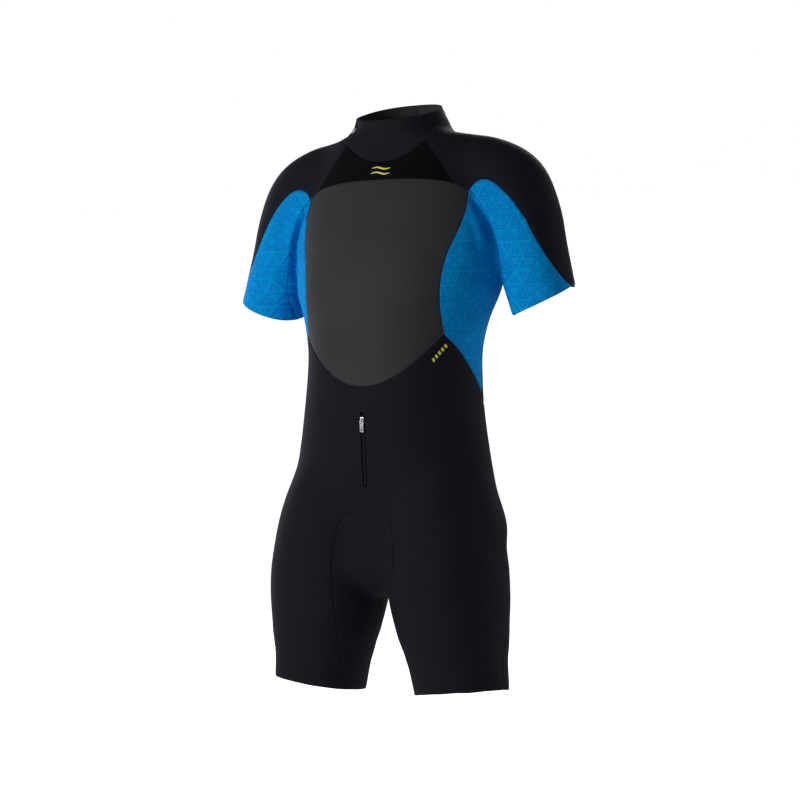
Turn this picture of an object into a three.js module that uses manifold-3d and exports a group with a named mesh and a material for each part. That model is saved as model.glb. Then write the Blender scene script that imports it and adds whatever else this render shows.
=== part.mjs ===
// A short-sleeved, knee-length wetsuit with a back zip, a short relief zip at the
// front and a fastening tab behind the neck. Millimetres, +Z up, the wearer faces -Y
// and the wearer's left is +X. The origin is at the base of the neck opening.
import * as THREE from 'three';
import { LoftGeometry } from 'three/addons/geometries/LoftGeometry.js';
import { mergeVertices } from 'three/addons/utils/BufferGeometryUtils.js';
import Module from 'manifold-3d';

const wasm = await Module();
wasm.setup();

// Grading: 1 is the medium size that the tables are drawn for. Girth changes every
// measure around the body and length every height. Fabric, zips and tab keep their gauge.
const GIRTH = 1;
const LENGTH = 1;

// Fabric
const NEOPRENE = 3;
const GAP = 0.3;
const PRINT = 0.6;

// Openings
const HEM_Z = -884 * LENGTH;
const HEM_X = 122 * GIRTH;
const HEM_LEAN = 0.12;
const HEM_TILT = -0.1;
const CUFF_X = 237 * GIRTH;
const CUFF_Y = 26 * GIRTH;
const CUFF_Z = -285 * LENGTH;
const CUFF_LEAN = 0.42;
const CUFF_TILT = 0.25;
const COLLAR_TOP_Y = 82 * GIRTH;
const COLLAR_TOP_Z = 38 * LENGTH;
const COLLAR_SLOPE = 0.33;

// Collar
const COLLAR_SIDE_SEAM_Y = -24 * GIRTH;
const TAB_ROOT_X = 34;
const TAB_TIP_X = -46;
const TAB_ANCHOR = 16;
const TAB_BOTTOM = -2 * LENGTH;
const TAB_TOP = 25 * LENGTH;
const TAB_THICK = 2.4;
const PAD_THICK = 0.8;

// Back zip
const BACK_ZIP_BOTTOM = -430 * LENGTH;
const BACK_ZIP_TOP = -10 * LENGTH;
const BACK_SPINE_Y = 108 * GIRTH;

// Relief zip
const RELIEF_TOP = -456 * LENGTH;
const RELIEF_BOTTOM = -568 * LENGTH;
const BELLY_Y = -117.9 * GIRTH;
const BELLY_Z = -441 * LENGTH;
const BELLY_SLOPE = (-0.09 * GIRTH) / LENGTH;

// Seams and where front and back pieces part
const WAIST_SEAM_Z = -441 * LENGTH;
const WAIST_SEAM_Y = 4.5 * GIRTH;
const CHEST_DEPTH_Y = 20 * GIRTH;
const SHOULDER_Y = 30 * GIRTH;
const CROTCH_Y = -24 * GIRTH;
const OVERLAP = 0.5;

// Printed marks
const WAVE_Z = [-80 * LENGTH, -88 * LENGTH];
const WAIST_MARK_X = 111 * GIRTH;
const WAIST_MARK_Z = -366 * LENGTH;

// How finely the surfaces are divided.
const AROUND_TORSO = 40;
const AROUND_LIMB = 24;
const SQUARENESS = 2.3;

// Torso sections from the crotch up: height, half width, front, back, middle.
const TORSO = [
  [-736, 40, 34, 34, -24],
  [-716, 104, 66, 58, -24],
  [-690, 158, 86, 102, -24],
  [-638, 184, 87, 129, -21],
  [-572, 164, 89, 130, -17],
  [-507, 151, 97.9, 122, -14],
  [-441, 141, 105.9, 120, -12],
  [-398, 138, 104, 118, -10],
  [-354, 138, 108, 114, -6],
  [-310, 148, 117, 106, 2],
  [-263, 166, 124, 96, 12],
  [-210, 173, 120, 88, 20],
  [-160, 171, 110, 81, 27],
  [-115, 165, 98, 76, 32],
  [-80, 153, 88, 74, 34],
  [-52, 140, 80, 76, 32],
  [-34, 122, 74, 80, 28],
  [-22, 92, 69, 84, 24],
  [-12, 76, 66, 86, 22],
  [4, 70, 63, 82, 14],
  [24, 65, 61, 70, 6],
  [70, 63, 60, 62, 4],
];

// Arm sections from the neck out: x, y, z of the middle, half height, half depth.
const ARM = [
  [0, 30, -84, 46, 48],
  [60, 31, -77, 49, 54],
  [105, 32, -80, 55, 58],
  [141, 32, -92, 62, 60],
  [175, 32, -115, 65, 61],
  [200, 31, -158, 59, 58],
  [216, 29, -212, 54, 56],
  [234, 26, -276, 51, 53],
  [250, 23, -325, 50, 52],
];

// Leg sections from the hip down: x, y, z of the middle, half width, front, back.
const LEG = [
  [70, -24, -490, 40, 46, 54],
  [82, -26, -560, 70, 72, 78],
  [92, -26, -620, 83, 92, 94],
  [99, -26, -690, 90, 100, 99],
  [105, -26, -740, 89, 95, 92],
  [110, -25, -780, 84, 89, 84],
  [113.5, -24, -802, 80, 85, 79],
  [116, -23, -824, 76, 80, 75],
  [119, -22, -848, 72, 77, 71],
  [128, -18, -920, 67, 73, 66],
];

// Seam lines. In x and z: the chest panel's edge from its top middle round to its
// bottom middle on the wearer's left.
const CHEST_EDGE = [
  [0, -98], [60, -99], [102, -104], [119, -109], [137, -119], [138, -150], [130, -188],
  [119, -228], [115, -266], [114, -303], [117, -338], [92, -368], [60, -396], [30, -412], [0, -417],
];
const CHEST_CORNERS = [4, 10];
const RAGLAN_FRONT = [[58, -4], [66, -34], [88, -64], [119, -109]];
const RAGLAN_BACK = [[46, 30], [58, -6], [92, -52], [137, -119]];
const SLEEVE_EDGE = [
  [137, -119], [148, -106], [165, -102], [193, -120], [221, -155],
  [243, -195], [266, -235], [296, -285],
];
const ARMHOLE = [[137, -119], [158, -138], [175, -172], [183, -212], [190, -262], [190, -330]];
const NECK_FRONT = [[0, -70], [24, -67], [45, -57], [62, -44], [78, -33], [100, -25], [140, -20]];
const GUSSET_FRONT = [
  [0, -598], [24, -604], [42, -620], [50, -650], [52, -690],
  [53, -740], [55, -800], [61, -860], [66, -900],
];
const GUSSET_BACK = [
  [0, -664], [24, -669], [42, -680], [50, -700], [53, -740],
  [55, -800], [61, -860], [66, -900],
];
// In y and z: the neck seam behind the ears, the side seam and the front edge of the hip.
const NECK_SEAM = [[-24, -25], [-8, -16], [25, -8], [65, -3], [140, 0]];
const SIDE_SEAM = [
  [46, -190], [43, -225], [40, -300], [34, -365], [22, -420],
  [10, -500], [4, -600], [-6, -700], [-20, -800], [-22, -920],
];
const HIP_EDGE = [[-104, -306], [-84, -326], [-74, -338], [-52, -358], [-24, -386], [6, -412], [36, -436]];

const WIDE = 400;

function solidOf(geometry) {
  geometry.deleteAttribute('normal');
  geometry.deleteAttribute('uv');
  const merged = mergeVertices(geometry, 1e-4);
  return new wasm.Manifold(new wasm.Mesh({
    numProp: 3,
    vertProperties: merged.attributes.position.array,
    triVerts: new Uint32Array(merged.index.array),
  }));
}

function section(centre, across, half, front, back, count) {
  return Array.from({ length: count }, (_, j) => {
    const angle = (2 * Math.PI * j) / count;
    const rounded = (v) => Math.sign(v) * Math.abs(v) ** (2 / SQUARENESS);
    const side = rounded(Math.cos(angle));
    const depth = rounded(Math.sin(angle));
    const point = centre.clone().addScaledVector(across, half * side);
    point.y += depth * (depth > 0 ? back : front);
    return point;
  });
}

const graded = (row, heightAt) => row.map((v, k) => v * (k === heightAt ? LENGTH : GIRTH));

const torsoSections = TORSO.map((row) => graded(row, 0)).map(([z, half, front, back, middle]) => section(
  new THREE.Vector3(0, middle, z), new THREE.Vector3(1, 0, 0), half, front, back, AROUND_TORSO));

function tubeSections(rows, side) {
  const path = rows.map((r) => new THREE.Vector3(side * r[0], r[1], r[2]));
  return rows.map((r, i) => {
    const ahead = path[Math.min(i + 1, path.length - 1)].clone().sub(path[Math.max(i - 1, 0)]);
    const across = new THREE.Vector3(0, 1, 0).cross(ahead).normalize();
    return section(path[i], across, r[3], r[4], r[5] ?? r[4], AROUND_LIMB);
  });
}

// A tube through the sections, drawn in by a depth all round.
function skin(sections, depth) {
  const last = sections.length - 1;
  return solidOf(new LoftGeometry(sections.map((ring, i) => ring.map((point, j) => {
    const round = ring[(j + 1) % ring.length].clone().sub(ring[(j + ring.length - 1) % ring.length]);
    const along = sections[Math.min(i + 1, last)][j].clone().sub(sections[Math.max(i - 1, 0)][j]);
    return point.clone().addScaledVector(round.cross(along).normalize(), -depth);
  })), { capStart: true, capEnd: true }));
}

const everySection = [torsoSections];
for (const side of [1, -1]) {
  everySection.push(tubeSections(ARM.map((row) => graded(row, 2)), side));
  everySection.push(tubeSections(LEG.map((row) => graded(row, 2)), side));
}

// Everything beyond a plane through a point.
function beyond(point, outward) {
  const turn = new THREE.Quaternion().setFromUnitVectors(
    new THREE.Vector3(0, 0, 1), outward.clone().normalize());
  const block = new THREE.BoxGeometry(WIDE, WIDE, WIDE).translate(0, 0, WIDE / 2);
  return solidOf(block.applyQuaternion(turn).translate(point.x, point.y, point.z));
}

let openings = beyond(
  new THREE.Vector3(0, COLLAR_TOP_Y, COLLAR_TOP_Z), new THREE.Vector3(0, -COLLAR_SLOPE, 1));
for (const side of [1, -1]) {
  openings = openings.add(beyond(
    new THREE.Vector3(side * CUFF_X, CUFF_Y, CUFF_Z), new THREE.Vector3(side * CUFF_LEAN, CUFF_TILT, -1))
    .intersect(block([side * (CUFF_X + 33 * GIRTH), CUFF_Y, CUFF_Z - 40], [165 * GIRTH, WIDE, 200])));
  openings = openings.add(beyond(
    new THREE.Vector3(side * HEM_X, 0, HEM_Z), new THREE.Vector3(side * HEM_LEAN, HEM_TILT, -1)));
}

function block(centre, size) {
  return solidOf(new THREE.BoxGeometry(...size).translate(...centre));
}

const bodies = new Map();
// The body shape drawn in by a depth, closed at its openings.
function bodyAt(depth) {
  if (!bodies.has(depth)) {
    bodies.set(depth, everySection.map((s) => skin(s, depth)).reduce((a, b) => a.add(b)));
  }
  return bodies.get(depth);
}

// The layer of fabric between two depths under the outer surface.
function layer(outer, inner) {
  return bodyAt(outer).subtract(bodyAt(inner)).subtract(openings);
}

function curve(points, corners = []) {
  const out = [];
  const stops = [0, ...corners, points.length - 1];
  for (let s = 0; s + 1 < stops.length; s += 1) {
    const part = points.slice(stops[s], stops[s + 1] + 1)
      .map((p) => new THREE.Vector3(p[0] * GIRTH, p[1] * LENGTH, 0));
    const run = part.length > 2
      ? new THREE.CatmullRomCurve3(part, false, 'centripetal').getPoints((part.length - 1) * 2)
      : part;
    out.push(...run.slice(s ? 1 : 0).map((p) => new THREE.Vector2(p.x, p.y)));
  }
  return out;
}

// An outline with every edge moved outward.
function grown(outline, by) {
  const turn = THREE.ShapeUtils.area(outline) > 0 ? 1 : -1;
  const n = outline.length;
  return outline.map((p, i) => {
    const before = p.clone().sub(outline[(i + n - 1) % n]).normalize();
    const after = outline[(i + 1) % n].clone().sub(p).normalize();
    const normal = new THREE.Vector2(before.y + after.y, -before.x - after.x).normalize();
    const reach = Math.max(0.4, normal.x * before.y - normal.y * before.x);
    return p.clone().addScaledVector(normal, (turn * by) / reach);
  });
}

// A flat outline in x and z made solid along y.
function throughY(outline, from, to) {
  const shape = new THREE.Shape(outline);
  const solid = new THREE.ExtrudeGeometry(shape, { depth: to - from, bevelEnabled: false });
  return solidOf(solid.rotateX(Math.PI / 2).translate(0, to, 0));
}

// A flat outline in y and z made solid along x.
function throughX(outline, from, to) {
  const shape = new THREE.Shape(outline.map((p) => new THREE.Vector2(-p.y, p.x)));
  const solid = new THREE.ExtrudeGeometry(shape, { depth: to - from, bevelEnabled: false });
  return solidOf(solid.rotateY(Math.PI / 2).translate(from, 0, 0));
}

// A thin wall along an open line.
function strip(line) {
  const side = (turn) => line.map((p, i) => {
    const ahead = line[Math.min(i + 1, line.length - 1)].clone().sub(line[Math.max(i - 1, 0)]);
    const shift = (turn * GAP) / 2 / ahead.length();
    return new THREE.Vector2(p.x - ahead.y * shift, p.y + ahead.x * shift);
  });
  return [...side(1), ...side(-1).reverse()];
}

const mirror = (line) => line.map((p) => new THREE.Vector2(-p.x, p.y));
const at = (...pairs) => pairs.map((p) => new THREE.Vector2(p[0] * GIRTH, p[1] * LENGTH));

// Takes a region off the rest of the suit, leaving a gap all round it.
let rest = layer(0, NEOPRENE);
function take(region, grownRegion) {
  const piece = rest.intersect(region);
  rest = rest.subtract(grownRegion);
  return piece;
}

// A line and its mirror image, from the wearer's left round to the right.
function bothSides(line, ends = []) {
  const half = [...curve(line), ...ends];
  return [...half, ...mirror(half).slice(1).reverse()];
}

const panels = {};

// Collar
const neckBehind = [...curve(NECK_SEAM), ...at([140, 200], [-24, 200])];
const neckAhead = bothSides(NECK_FRONT, at([140, 200]));
const neck = (by) => throughX(grown(neckBehind, by), -WIDE, WIDE)
  .add(throughY(grown(neckAhead, by), -WIDE, COLLAR_SIDE_SEAM_Y + OVERLAP));
const collar = take(neck(0), neck(GAP));
const collarFrontCut = block([0, COLLAR_SIDE_SEAM_Y, 0], [WIDE, GAP, WIDE]);
const collarBackCut = block([0, 100, 0], [GAP, 200, WIDE]);
for (const piece of collar.subtract(collarFrontCut).subtract(collarBackCut).decompose()) {
  const box = piece.boundingBox();
  if (box.max[1] < COLLAR_SIDE_SEAM_Y) {
    panels.collar_front = piece;
  } else {
    panels[box.max[0] > 1 ? 'collar_back_left' : 'collar_back_right'] = piece;
  }
}

// Chest panel
const chestHalf = curve(CHEST_EDGE, CHEST_CORNERS);
const chestOutline = [...chestHalf, ...mirror(chestHalf).slice(1, -1).reverse()];
panels.chest_panel = take(
  throughY(chestOutline, -WIDE, CHEST_DEPTH_Y), throughY(grown(chestOutline, GAP), -WIDE, CHEST_DEPTH_Y));

// Crotch gusset
const gusset = (by) => throughY(grown(bothSides(GUSSET_FRONT), by), -WIDE, CROTCH_Y + OVERLAP)
  .add(throughY(grown(bothSides(GUSSET_BACK), by), CROTCH_Y - OVERLAP, WIDE));
panels.crotch_gusset = take(gusset(0), gusset(GAP));

// Shoulders and the undersides of the sleeves
const sides = [['left', 1], ['right', -1]];
for (const [name, side] of sides) {
  const facing = (line) => (side > 0 ? line : mirror(line));
  const outer = [...curve(SLEEVE_EDGE).slice(1), ...at([WIDE, -400], [WIDE, 120])];
  const front = facing([...curve(RAGLAN_FRONT), ...at([137, -119]), ...outer, ...at([58, 120])]);
  const back = facing([...curve(RAGLAN_BACK), ...outer, ...at([46, 120])]);
  const shoulder = (by) => throughY(grown(front, by), -WIDE, SHOULDER_Y + OVERLAP)
    .add(throughY(grown(back, by), SHOULDER_Y - OVERLAP, WIDE));
  panels[`shoulder_panel_${name}`] = take(shoulder(0), shoulder(GAP));
  const under = facing([...curve(ARMHOLE), ...at([WIDE, -330], [WIDE, 0], [137, 0])]);
  panels[`underarm_panel_${name}`] = take(
    throughY(under, -WIDE, WIDE), throughY(grown(under, GAP), -WIDE, WIDE));
}

// Seams of what is left of the torso and legs
for (const side of [1, -1]) {
  const span = side > 0 ? [0, WIDE] : [-WIDE, 0];
  rest = rest.subtract(throughX(strip(curve(SIDE_SEAM)), ...span));
  rest = rest.subtract(throughX(strip(curve(HIP_EDGE)), ...span));
}
rest = rest.subtract(block([0, WAIST_SEAM_Y + 100, WAIST_SEAM_Z], [WIDE, 200, GAP]));
rest = rest.subtract(block([0, 100, WAIST_SEAM_Z / 2], [GAP, 200, -WAIST_SEAM_Z]));

// Zips. Each is drawn flat, with x across, y outward and z up, and then put in place.
const backZip = {
  name: 'back_zip',
  place: new THREE.Matrix4().makeTranslation(0, BACK_SPINE_Y, 0),
  slot: [BACK_ZIP_BOTTOM, BACK_ZIP_TOP],
  slotHalf: 6.6,
  teeth: [0.6, 4.8],
  flange: [5.1, 6.1],
  tape: [0.9, 14],
  flap: [14.4, 24],
  slider: 16,
  loop: 1.8,
  pull: [2.6, 4.2, 34],
};
const reliefZip = {
  name: 'relief_zip',
  place: new THREE.Matrix4().makeTranslation(0, BELLY_Y, BELLY_Z)
    .multiply(new THREE.Matrix4().makeRotationX(-Math.atan(BELLY_SLOPE)))
    .multiply(new THREE.Matrix4().makeRotationZ(Math.PI)),
  slot: [RELIEF_BOTTOM - BELLY_Z, RELIEF_TOP - BELLY_Z],
  slotHalf: 3.4,
  teeth: [0.5, 2],
  flange: [2.3, 3],
  tape: [0.8, 7],
  flap: [7.4, 14],
  slider: 10,
  loop: 1.1,
  pull: [1.6, 2.6, 18],
};
const TEETH_DEEP = 2.4;
const STOP = 3;
const END_ROOM = 3;
const PLATE = 1.4;

const spanBox = (x, y, z) => block(
  [(x[0] + x[1]) / 2, (y[0] + y[1]) / 2, (z[0] + z[1]) / 2],
  [Math.abs(x[1] - x[0]), Math.abs(y[1] - y[0]), Math.abs(z[1] - z[0])]);

function placed(solid, matrix) {
  return solid.transform(matrix.elements);
}

const parts = [];
const add = (name, solid, color, finish = {}) => parts.push({ name, solid, color, finish });
const METAL = { metalness: 0.9, roughness: 0.3 };

function zip(spec, colors) {
  const put = (solid) => placed(solid, spec.place);
  const [bottom, top] = spec.slot;
  rest = rest.subtract(put(spanBox([-spec.slotHalf, spec.slotHalf], [-20, 20], spec.slot)));
  const rowBottom = bottom + END_ROOM + STOP;
  const rowTop = top - END_ROOM - STOP;
  const tapeLayer = layer(NEOPRENE + GAP, NEOPRENE + GAP + 1);
  const flapLayer = layer(NEOPRENE + 3.3, NEOPRENE + 4.8);
  const seatLayer = layer(NEOPRENE + GAP, NEOPRENE + 4.8);
  const zEnds = [bottom - 7, top + 2];
  const teethDepth = [-NEOPRENE, -NEOPRENE + TEETH_DEEP];
  for (const [side, turn] of sides) {
    const x = ([from, to]) => [turn * from, turn * to];
    const tape = tapeLayer.intersect(put(spanBox(x(spec.tape), [-30, 30], zEnds)));
    const teeth = spanBox(x(spec.teeth), teethDepth, [rowBottom + GAP, rowTop - GAP]);
    const stop = spanBox(x(spec.teeth), teethDepth, [rowTop, rowTop + STOP]);
    add(`${spec.name}_tape_${side}`, tape, colors.tape);
    add(`${spec.name}_teeth_${side}`, put(teeth), colors.teeth);
    add(`${spec.name}_top_stop_${side}`, put(stop), colors.metal, METAL);
  }
  const bottomStop = spanBox([-spec.teeth[1], spec.teeth[1]], teethDepth, [rowBottom - STOP, rowBottom]);
  add(`${spec.name}_bottom_stop`, put(bottomStop), colors.metal, METAL);
  const flapEdge = (turn) => seatLayer.intersect(put(spanBox(
    [turn * spec.flap[0], turn * spec.flap[1]], [-30, 30], [zEnds[0] - 1, zEnds[1]])));
  const flapMiddle = flapLayer.intersect(put(spanBox(
    [-spec.flap[1], spec.flap[1]], [-30, 30], [zEnds[0] - 1, zEnds[1]])));
  add(`${spec.name}_flap`, flapMiddle.add(flapEdge(1)).add(flapEdge(-1)), colors.flap);

  // Slider, drawn with its middle at z = 0.
  const half = spec.slider / 2;
  const wide = spec.flange[1];
  const along = [-half, half];
  const loopHalf = half * 0.62;
  const loopTop = PLATE - GAP + 2.3;
  let slider = spanBox([-wide, wide], [-GAP, PLATE - GAP], along)
    .add(spanBox([-wide, wide], [-NEOPRENE - 2.9, -NEOPRENE - 1.9], along))
    .add(spanBox([-0.25, 0.25], [-NEOPRENE - 2, 0], along));
  for (const turn of [1, -1]) {
    slider = slider.add(spanBox([turn * spec.flange[0], turn * wide], [-NEOPRENE, 0], along));
    slider = slider.add(spanBox([-spec.loop, spec.loop], [0, loopTop],
      [turn * (loopHalf - 1), turn * loopHalf]));
  }
  slider = slider.add(spanBox(
    [-spec.loop, spec.loop], [loopTop - 0.1, loopTop + 1], [-loopHalf, loopHalf]));
  const sliderZ = rowTop - GAP - half;
  const lift = new THREE.Matrix4().makeTranslation(0, 0, sliderZ);
  add(`${spec.name}_slider`, put(placed(slider, lift)), colors.metal, METAL);

  // Pull, hung from the loop and hanging down.
  const pinY = (PLATE - GAP + loopTop) / 2;
  const thick = 1.6;
  const [armIn, armOut, length] = spec.pull;
  const pin = new THREE.CylinderGeometry(thick / 2, thick / 2, 2 * armOut, 12).rotateZ(Math.PI / 2);
  let pull = solidOf(pin);
  const neckZ = -loopHalf - 2;
  for (const turn of [1, -1]) {
    pull = pull.add(spanBox([turn * armIn, turn * armOut], [-thick / 2, thick / 2], [neckZ - 1, 0]));
  }
  const w = armOut;
  const tab = new THREE.Shape();
  tab.moveTo(-w, neckZ);
  tab.lineTo(-w - 0.6, -length + w);
  tab.quadraticCurveTo(-w - 0.6, -length, 0, -length);
  tab.quadraticCurveTo(w + 0.6, -length, w + 0.6, -length + w);
  tab.lineTo(w, neckZ);
  const hole = new THREE.Path();
  hole.absellipse(0, -length + w + 1, w * 0.5, w * 0.75, 0, 2 * Math.PI, false, 0);
  tab.holes.push(hole);
  const blade = new THREE.ExtrudeGeometry(tab, { depth: thick, bevelEnabled: false, curveSegments: 4 });
  pull = pull.add(solidOf(blade.rotateX(Math.PI / 2).translate(0, thick / 2, 0)));
  add(`${spec.name}_pull`,
    put(placed(pull, new THREE.Matrix4().makeTranslation(0, pinY, sliderZ))), colors.metal, METAL);
}
zip(backZip, { tape: 0x14151c, teeth: 0x1c1d24, metal: 0xb9bcc0, flap: 0x1b1c24 });
zip(reliefZip, { tape: 0x14151c, teeth: 0x1c1d24, metal: 0xb9bcc0, flap: 0x1b1c24 });

// Fastening tab behind the neck: a loop patch, a hook pad and the tab over them.
const tabBand = (x, z) => spanBox(x, [40, 200], z);
const tabIn = -(2 * PAD_THICK + 3 * GAP);
const tabOut = tabIn - TAB_THICK;
add('collar_loop_patch', layer(-GAP - PAD_THICK, -GAP)
  .intersect(tabBand([TAB_TIP_X - 6, -3], [TAB_BOTTOM - 1, TAB_TOP + 1])), 0x24252c);
add('collar_hook_pad', layer(tabIn + GAP, tabIn + GAP + PAD_THICK)
  .intersect(tabBand([TAB_TIP_X + 4, -9], [TAB_BOTTOM + 3, TAB_TOP - 3])), 0x17181d);
add('collar_tab', layer(tabOut, tabIn)
  .intersect(tabBand([TAB_TIP_X, TAB_ROOT_X], [TAB_BOTTOM, TAB_TOP])), 0x16171f);
add('collar_tab_anchor', layer(tabOut, -GAP)
  .intersect(tabBand([TAB_ROOT_X + GAP, TAB_ROOT_X + GAP + TAB_ANCHOR], [TAB_BOTTOM, TAB_TOP])), 0x16171f);

// Printed marks: two short waves on the upper chest and a slanted row of bars.
function wave(x, z, length, tall) {
  const shape = [];
  for (let i = 0; i <= 8; i += 1) {
    shape.push(new THREE.Vector2(x + (length * i) / 8, z + tall / 2 + 1.6 * Math.sin((i * Math.PI) / 4)));
  }
  for (let i = 8; i >= 0; i -= 1) {
    shape.push(new THREE.Vector2(x + (length * i) / 8, z - tall / 2 + 1.6 * Math.sin((i * Math.PI) / 4)));
  }
  return throughY(shape, -WIDE, 0);
}
const printLayer = layer(-GAP - PRINT, -GAP);
add('chest_mark_upper', printLayer.intersect(wave(-17, WAVE_Z[0], 34, 3.2)), 0xe6e15a);
add('chest_mark_lower', printLayer.intersect(wave(-17, WAVE_Z[1], 34, 3.2)), 0xe6e15a);
const slant = (...points) => points.map((p) => new THREE.Vector2(...p)
  .rotateAround(new THREE.Vector2(0, 0), 1.0).add(new THREE.Vector2(WAIST_MARK_X, WAIST_MARK_Z)));
const labelOuter = slant([-19, -3.5], [19, -3.5], [19, 3.5], [-19, 3.5]);
let label = throughY(labelOuter, -WIDE, 0);
for (let i = 0; i < 4; i += 1) {
  const x = -15.5 + 8 * i;
  label = label.subtract(throughY(slant([x, -2], [x + 6, -2], [x + 7, 2], [x + 1, 2]), -WIDE, 0));
}
add('waist_mark', printLayer.intersect(label), 0xe6e15a);

for (const piece of rest.decompose()) {
  const box = piece.boundingBox();
  const middle = (box.min[0] + box.max[0]) / 2;
  const side = middle > 0 ? 'left' : 'right';
  if (Math.abs(middle) < 10) {
    if (box.max[2] > -200 * LENGTH) {
      panels.upper_chest_yoke = piece;
    } else {
      panels[box.max[1] > 60 * GIRTH ? 'seat_panel' : 'front_body_panel'] = piece;
    }
  } else {
    panels[`${box.max[1] > 60 * GIRTH ? 'back' : 'side'}_panel_${side}`] = piece;
  }
}

const NAVY = 0x1a1b26;
const BLUE = 0x0a78c8;
const panelColors = {
  chest_panel: 0x36373b,
  upper_chest_yoke: 0x0c0d12,
};
const suit = new THREE.Group();
suit.name = 'wetsuit';
function addSolid(name, solid, color, finish = {}) {
  const mesh = solid.getMesh();
  const geometry = new THREE.BufferGeometry();
  geometry.setAttribute('position', new THREE.BufferAttribute(mesh.vertProperties, 3));
  geometry.setIndex(new THREE.BufferAttribute(mesh.triVerts, 1));
  const material = new THREE.MeshStandardMaterial({ color, roughness: 0.8, ...finish });
  const out = new THREE.Mesh(geometry, material);
  out.name = name;
  suit.add(out);
}
for (const [name, solid] of Object.entries(panels)) {
  const blue = name.startsWith('underarm') || name.startsWith('side');
  addSolid(name, solid, panelColors[name] ?? (blue ? BLUE : NAVY));
}
for (const { name, solid, color, finish } of parts) {
  addSolid(name, solid, color, finish);
}
export default suit;
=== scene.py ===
# %% [markdown]
# # A short-sleeved wetsuit
#
# This file dresses a packed, jointed model in cloth. The model arrives as a fixed frame
# of plain solids in metres: +Z is up and the wearer faces -Y, with the left hand at +X.
# Each step says what a piece is on the real suit, how it could be made, and why it is
# made this way. The plain solids stay for collision, and detailed pieces stand for them.

# %% Load the frame
import math

import bmesh
import bpy
from mathutils import Matrix, Vector, noise
from mathutils.bvhtree import BVHTree


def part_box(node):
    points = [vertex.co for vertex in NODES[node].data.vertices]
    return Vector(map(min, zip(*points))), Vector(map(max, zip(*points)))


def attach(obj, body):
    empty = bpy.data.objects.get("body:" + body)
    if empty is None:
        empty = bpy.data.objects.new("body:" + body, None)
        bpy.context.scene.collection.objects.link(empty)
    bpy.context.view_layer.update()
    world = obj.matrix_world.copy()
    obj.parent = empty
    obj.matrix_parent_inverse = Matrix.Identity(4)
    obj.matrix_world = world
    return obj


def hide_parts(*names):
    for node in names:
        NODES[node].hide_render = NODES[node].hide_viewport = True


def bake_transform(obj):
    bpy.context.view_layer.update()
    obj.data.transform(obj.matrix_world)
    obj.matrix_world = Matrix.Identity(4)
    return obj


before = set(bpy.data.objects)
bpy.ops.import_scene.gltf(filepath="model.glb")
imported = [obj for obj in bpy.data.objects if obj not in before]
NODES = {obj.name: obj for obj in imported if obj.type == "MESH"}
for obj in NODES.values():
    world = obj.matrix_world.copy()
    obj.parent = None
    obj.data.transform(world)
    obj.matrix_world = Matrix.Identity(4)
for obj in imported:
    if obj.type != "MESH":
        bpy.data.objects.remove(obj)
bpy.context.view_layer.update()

MM = 0.001
SUIT = "suit"
SIDES = (("left", 1), ("right", -1))

# %% [markdown]
# ## Camera, light and floor
#
# The suit is seen from its front and a little to the wearer's left, at waist height, with
# a long lens, as clothes are usually shown. Big soft lights on both sides draw the edge of
# a dark body, and a weaker one in front fills it. A pale sweep of floor and wall keeps the
# background even, so that dark cloth shows its outline.

# %% Camera
CAMERA_AZIMUTH = math.radians(27)
CAMERA_DISTANCE = 2.87
AIM = Vector((0, 0, -0.435))


def add_camera():
    data = bpy.data.cameras.new("camera")
    data.lens = 82.6
    data.sensor_width = 36
    data.shift_x = 0.00375
    data.shift_y = -0.00125
    camera = bpy.data.objects.new("camera", data)
    outward = Vector((math.sin(CAMERA_AZIMUTH), -math.cos(CAMERA_AZIMUTH), 0))
    camera.location = AIM + CAMERA_DISTANCE * outward
    camera.rotation_euler = (math.pi / 2, 0, CAMERA_AZIMUTH)
    bpy.context.scene.collection.objects.link(camera)
    bpy.context.scene.camera = camera
    return camera


camera = add_camera()
print("camera at", [round(v, 3) for v in camera.location])

# %% Lights
def add_light(name, azimuth, height, distance, size, power, color=(1, 1, 1)):
    """A square soft light that looks at the middle of the suit. Azimuth 0 is in front."""
    data = bpy.data.lights.new(name, "AREA")
    data.size = size
    data.energy = power
    data.color = color
    light = bpy.data.objects.new(name, data)
    turn = math.radians(azimuth)
    light.location = (distance * math.sin(turn), -distance * math.cos(turn), height)
    light.rotation_euler = (AIM - light.location).to_track_quat("-Z", "Y").to_euler()
    bpy.context.scene.collection.objects.link(light)
    return light


add_light("key_light", -30, 0.3, 2.6, 1.3, 45)
add_light("fill_light", 40, 0.1, 3.0, 1.6, 3.5)
add_light("left_edge_light", 122, 0.1, 2.2, 1.2, 11, (0.9, 0.94, 1))
add_light("right_edge_light", -108, 0.1, 2.2, 1.2, 18, (0.9, 0.94, 1))
add_light("back_light", 190, 0.9, 2.4, 1.2, 30)


# %% A white room that lights less than it shows
def set_world(seen, lighting):
    world = bpy.data.worlds.new("studio")
    world.use_nodes = True
    tree = world.node_tree
    paper = tree.nodes["Background"]
    paper.inputs["Color"].default_value = (1, 1, 1, 1)
    rays = tree.nodes.new("ShaderNodeLightPath")
    level = tree.nodes.new("ShaderNodeMapRange")
    level.inputs["To Min"].default_value = lighting
    level.inputs["To Max"].default_value = seen
    tree.links.new(rays.outputs["Is Camera Ray"], level.inputs["Value"])
    tree.links.new(level.outputs["Result"], paper.inputs["Strength"])
    bpy.context.scene.world = world


set_world(1.0, 0.13)
bpy.context.scene.view_settings.view_transform = "Standard"
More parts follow.
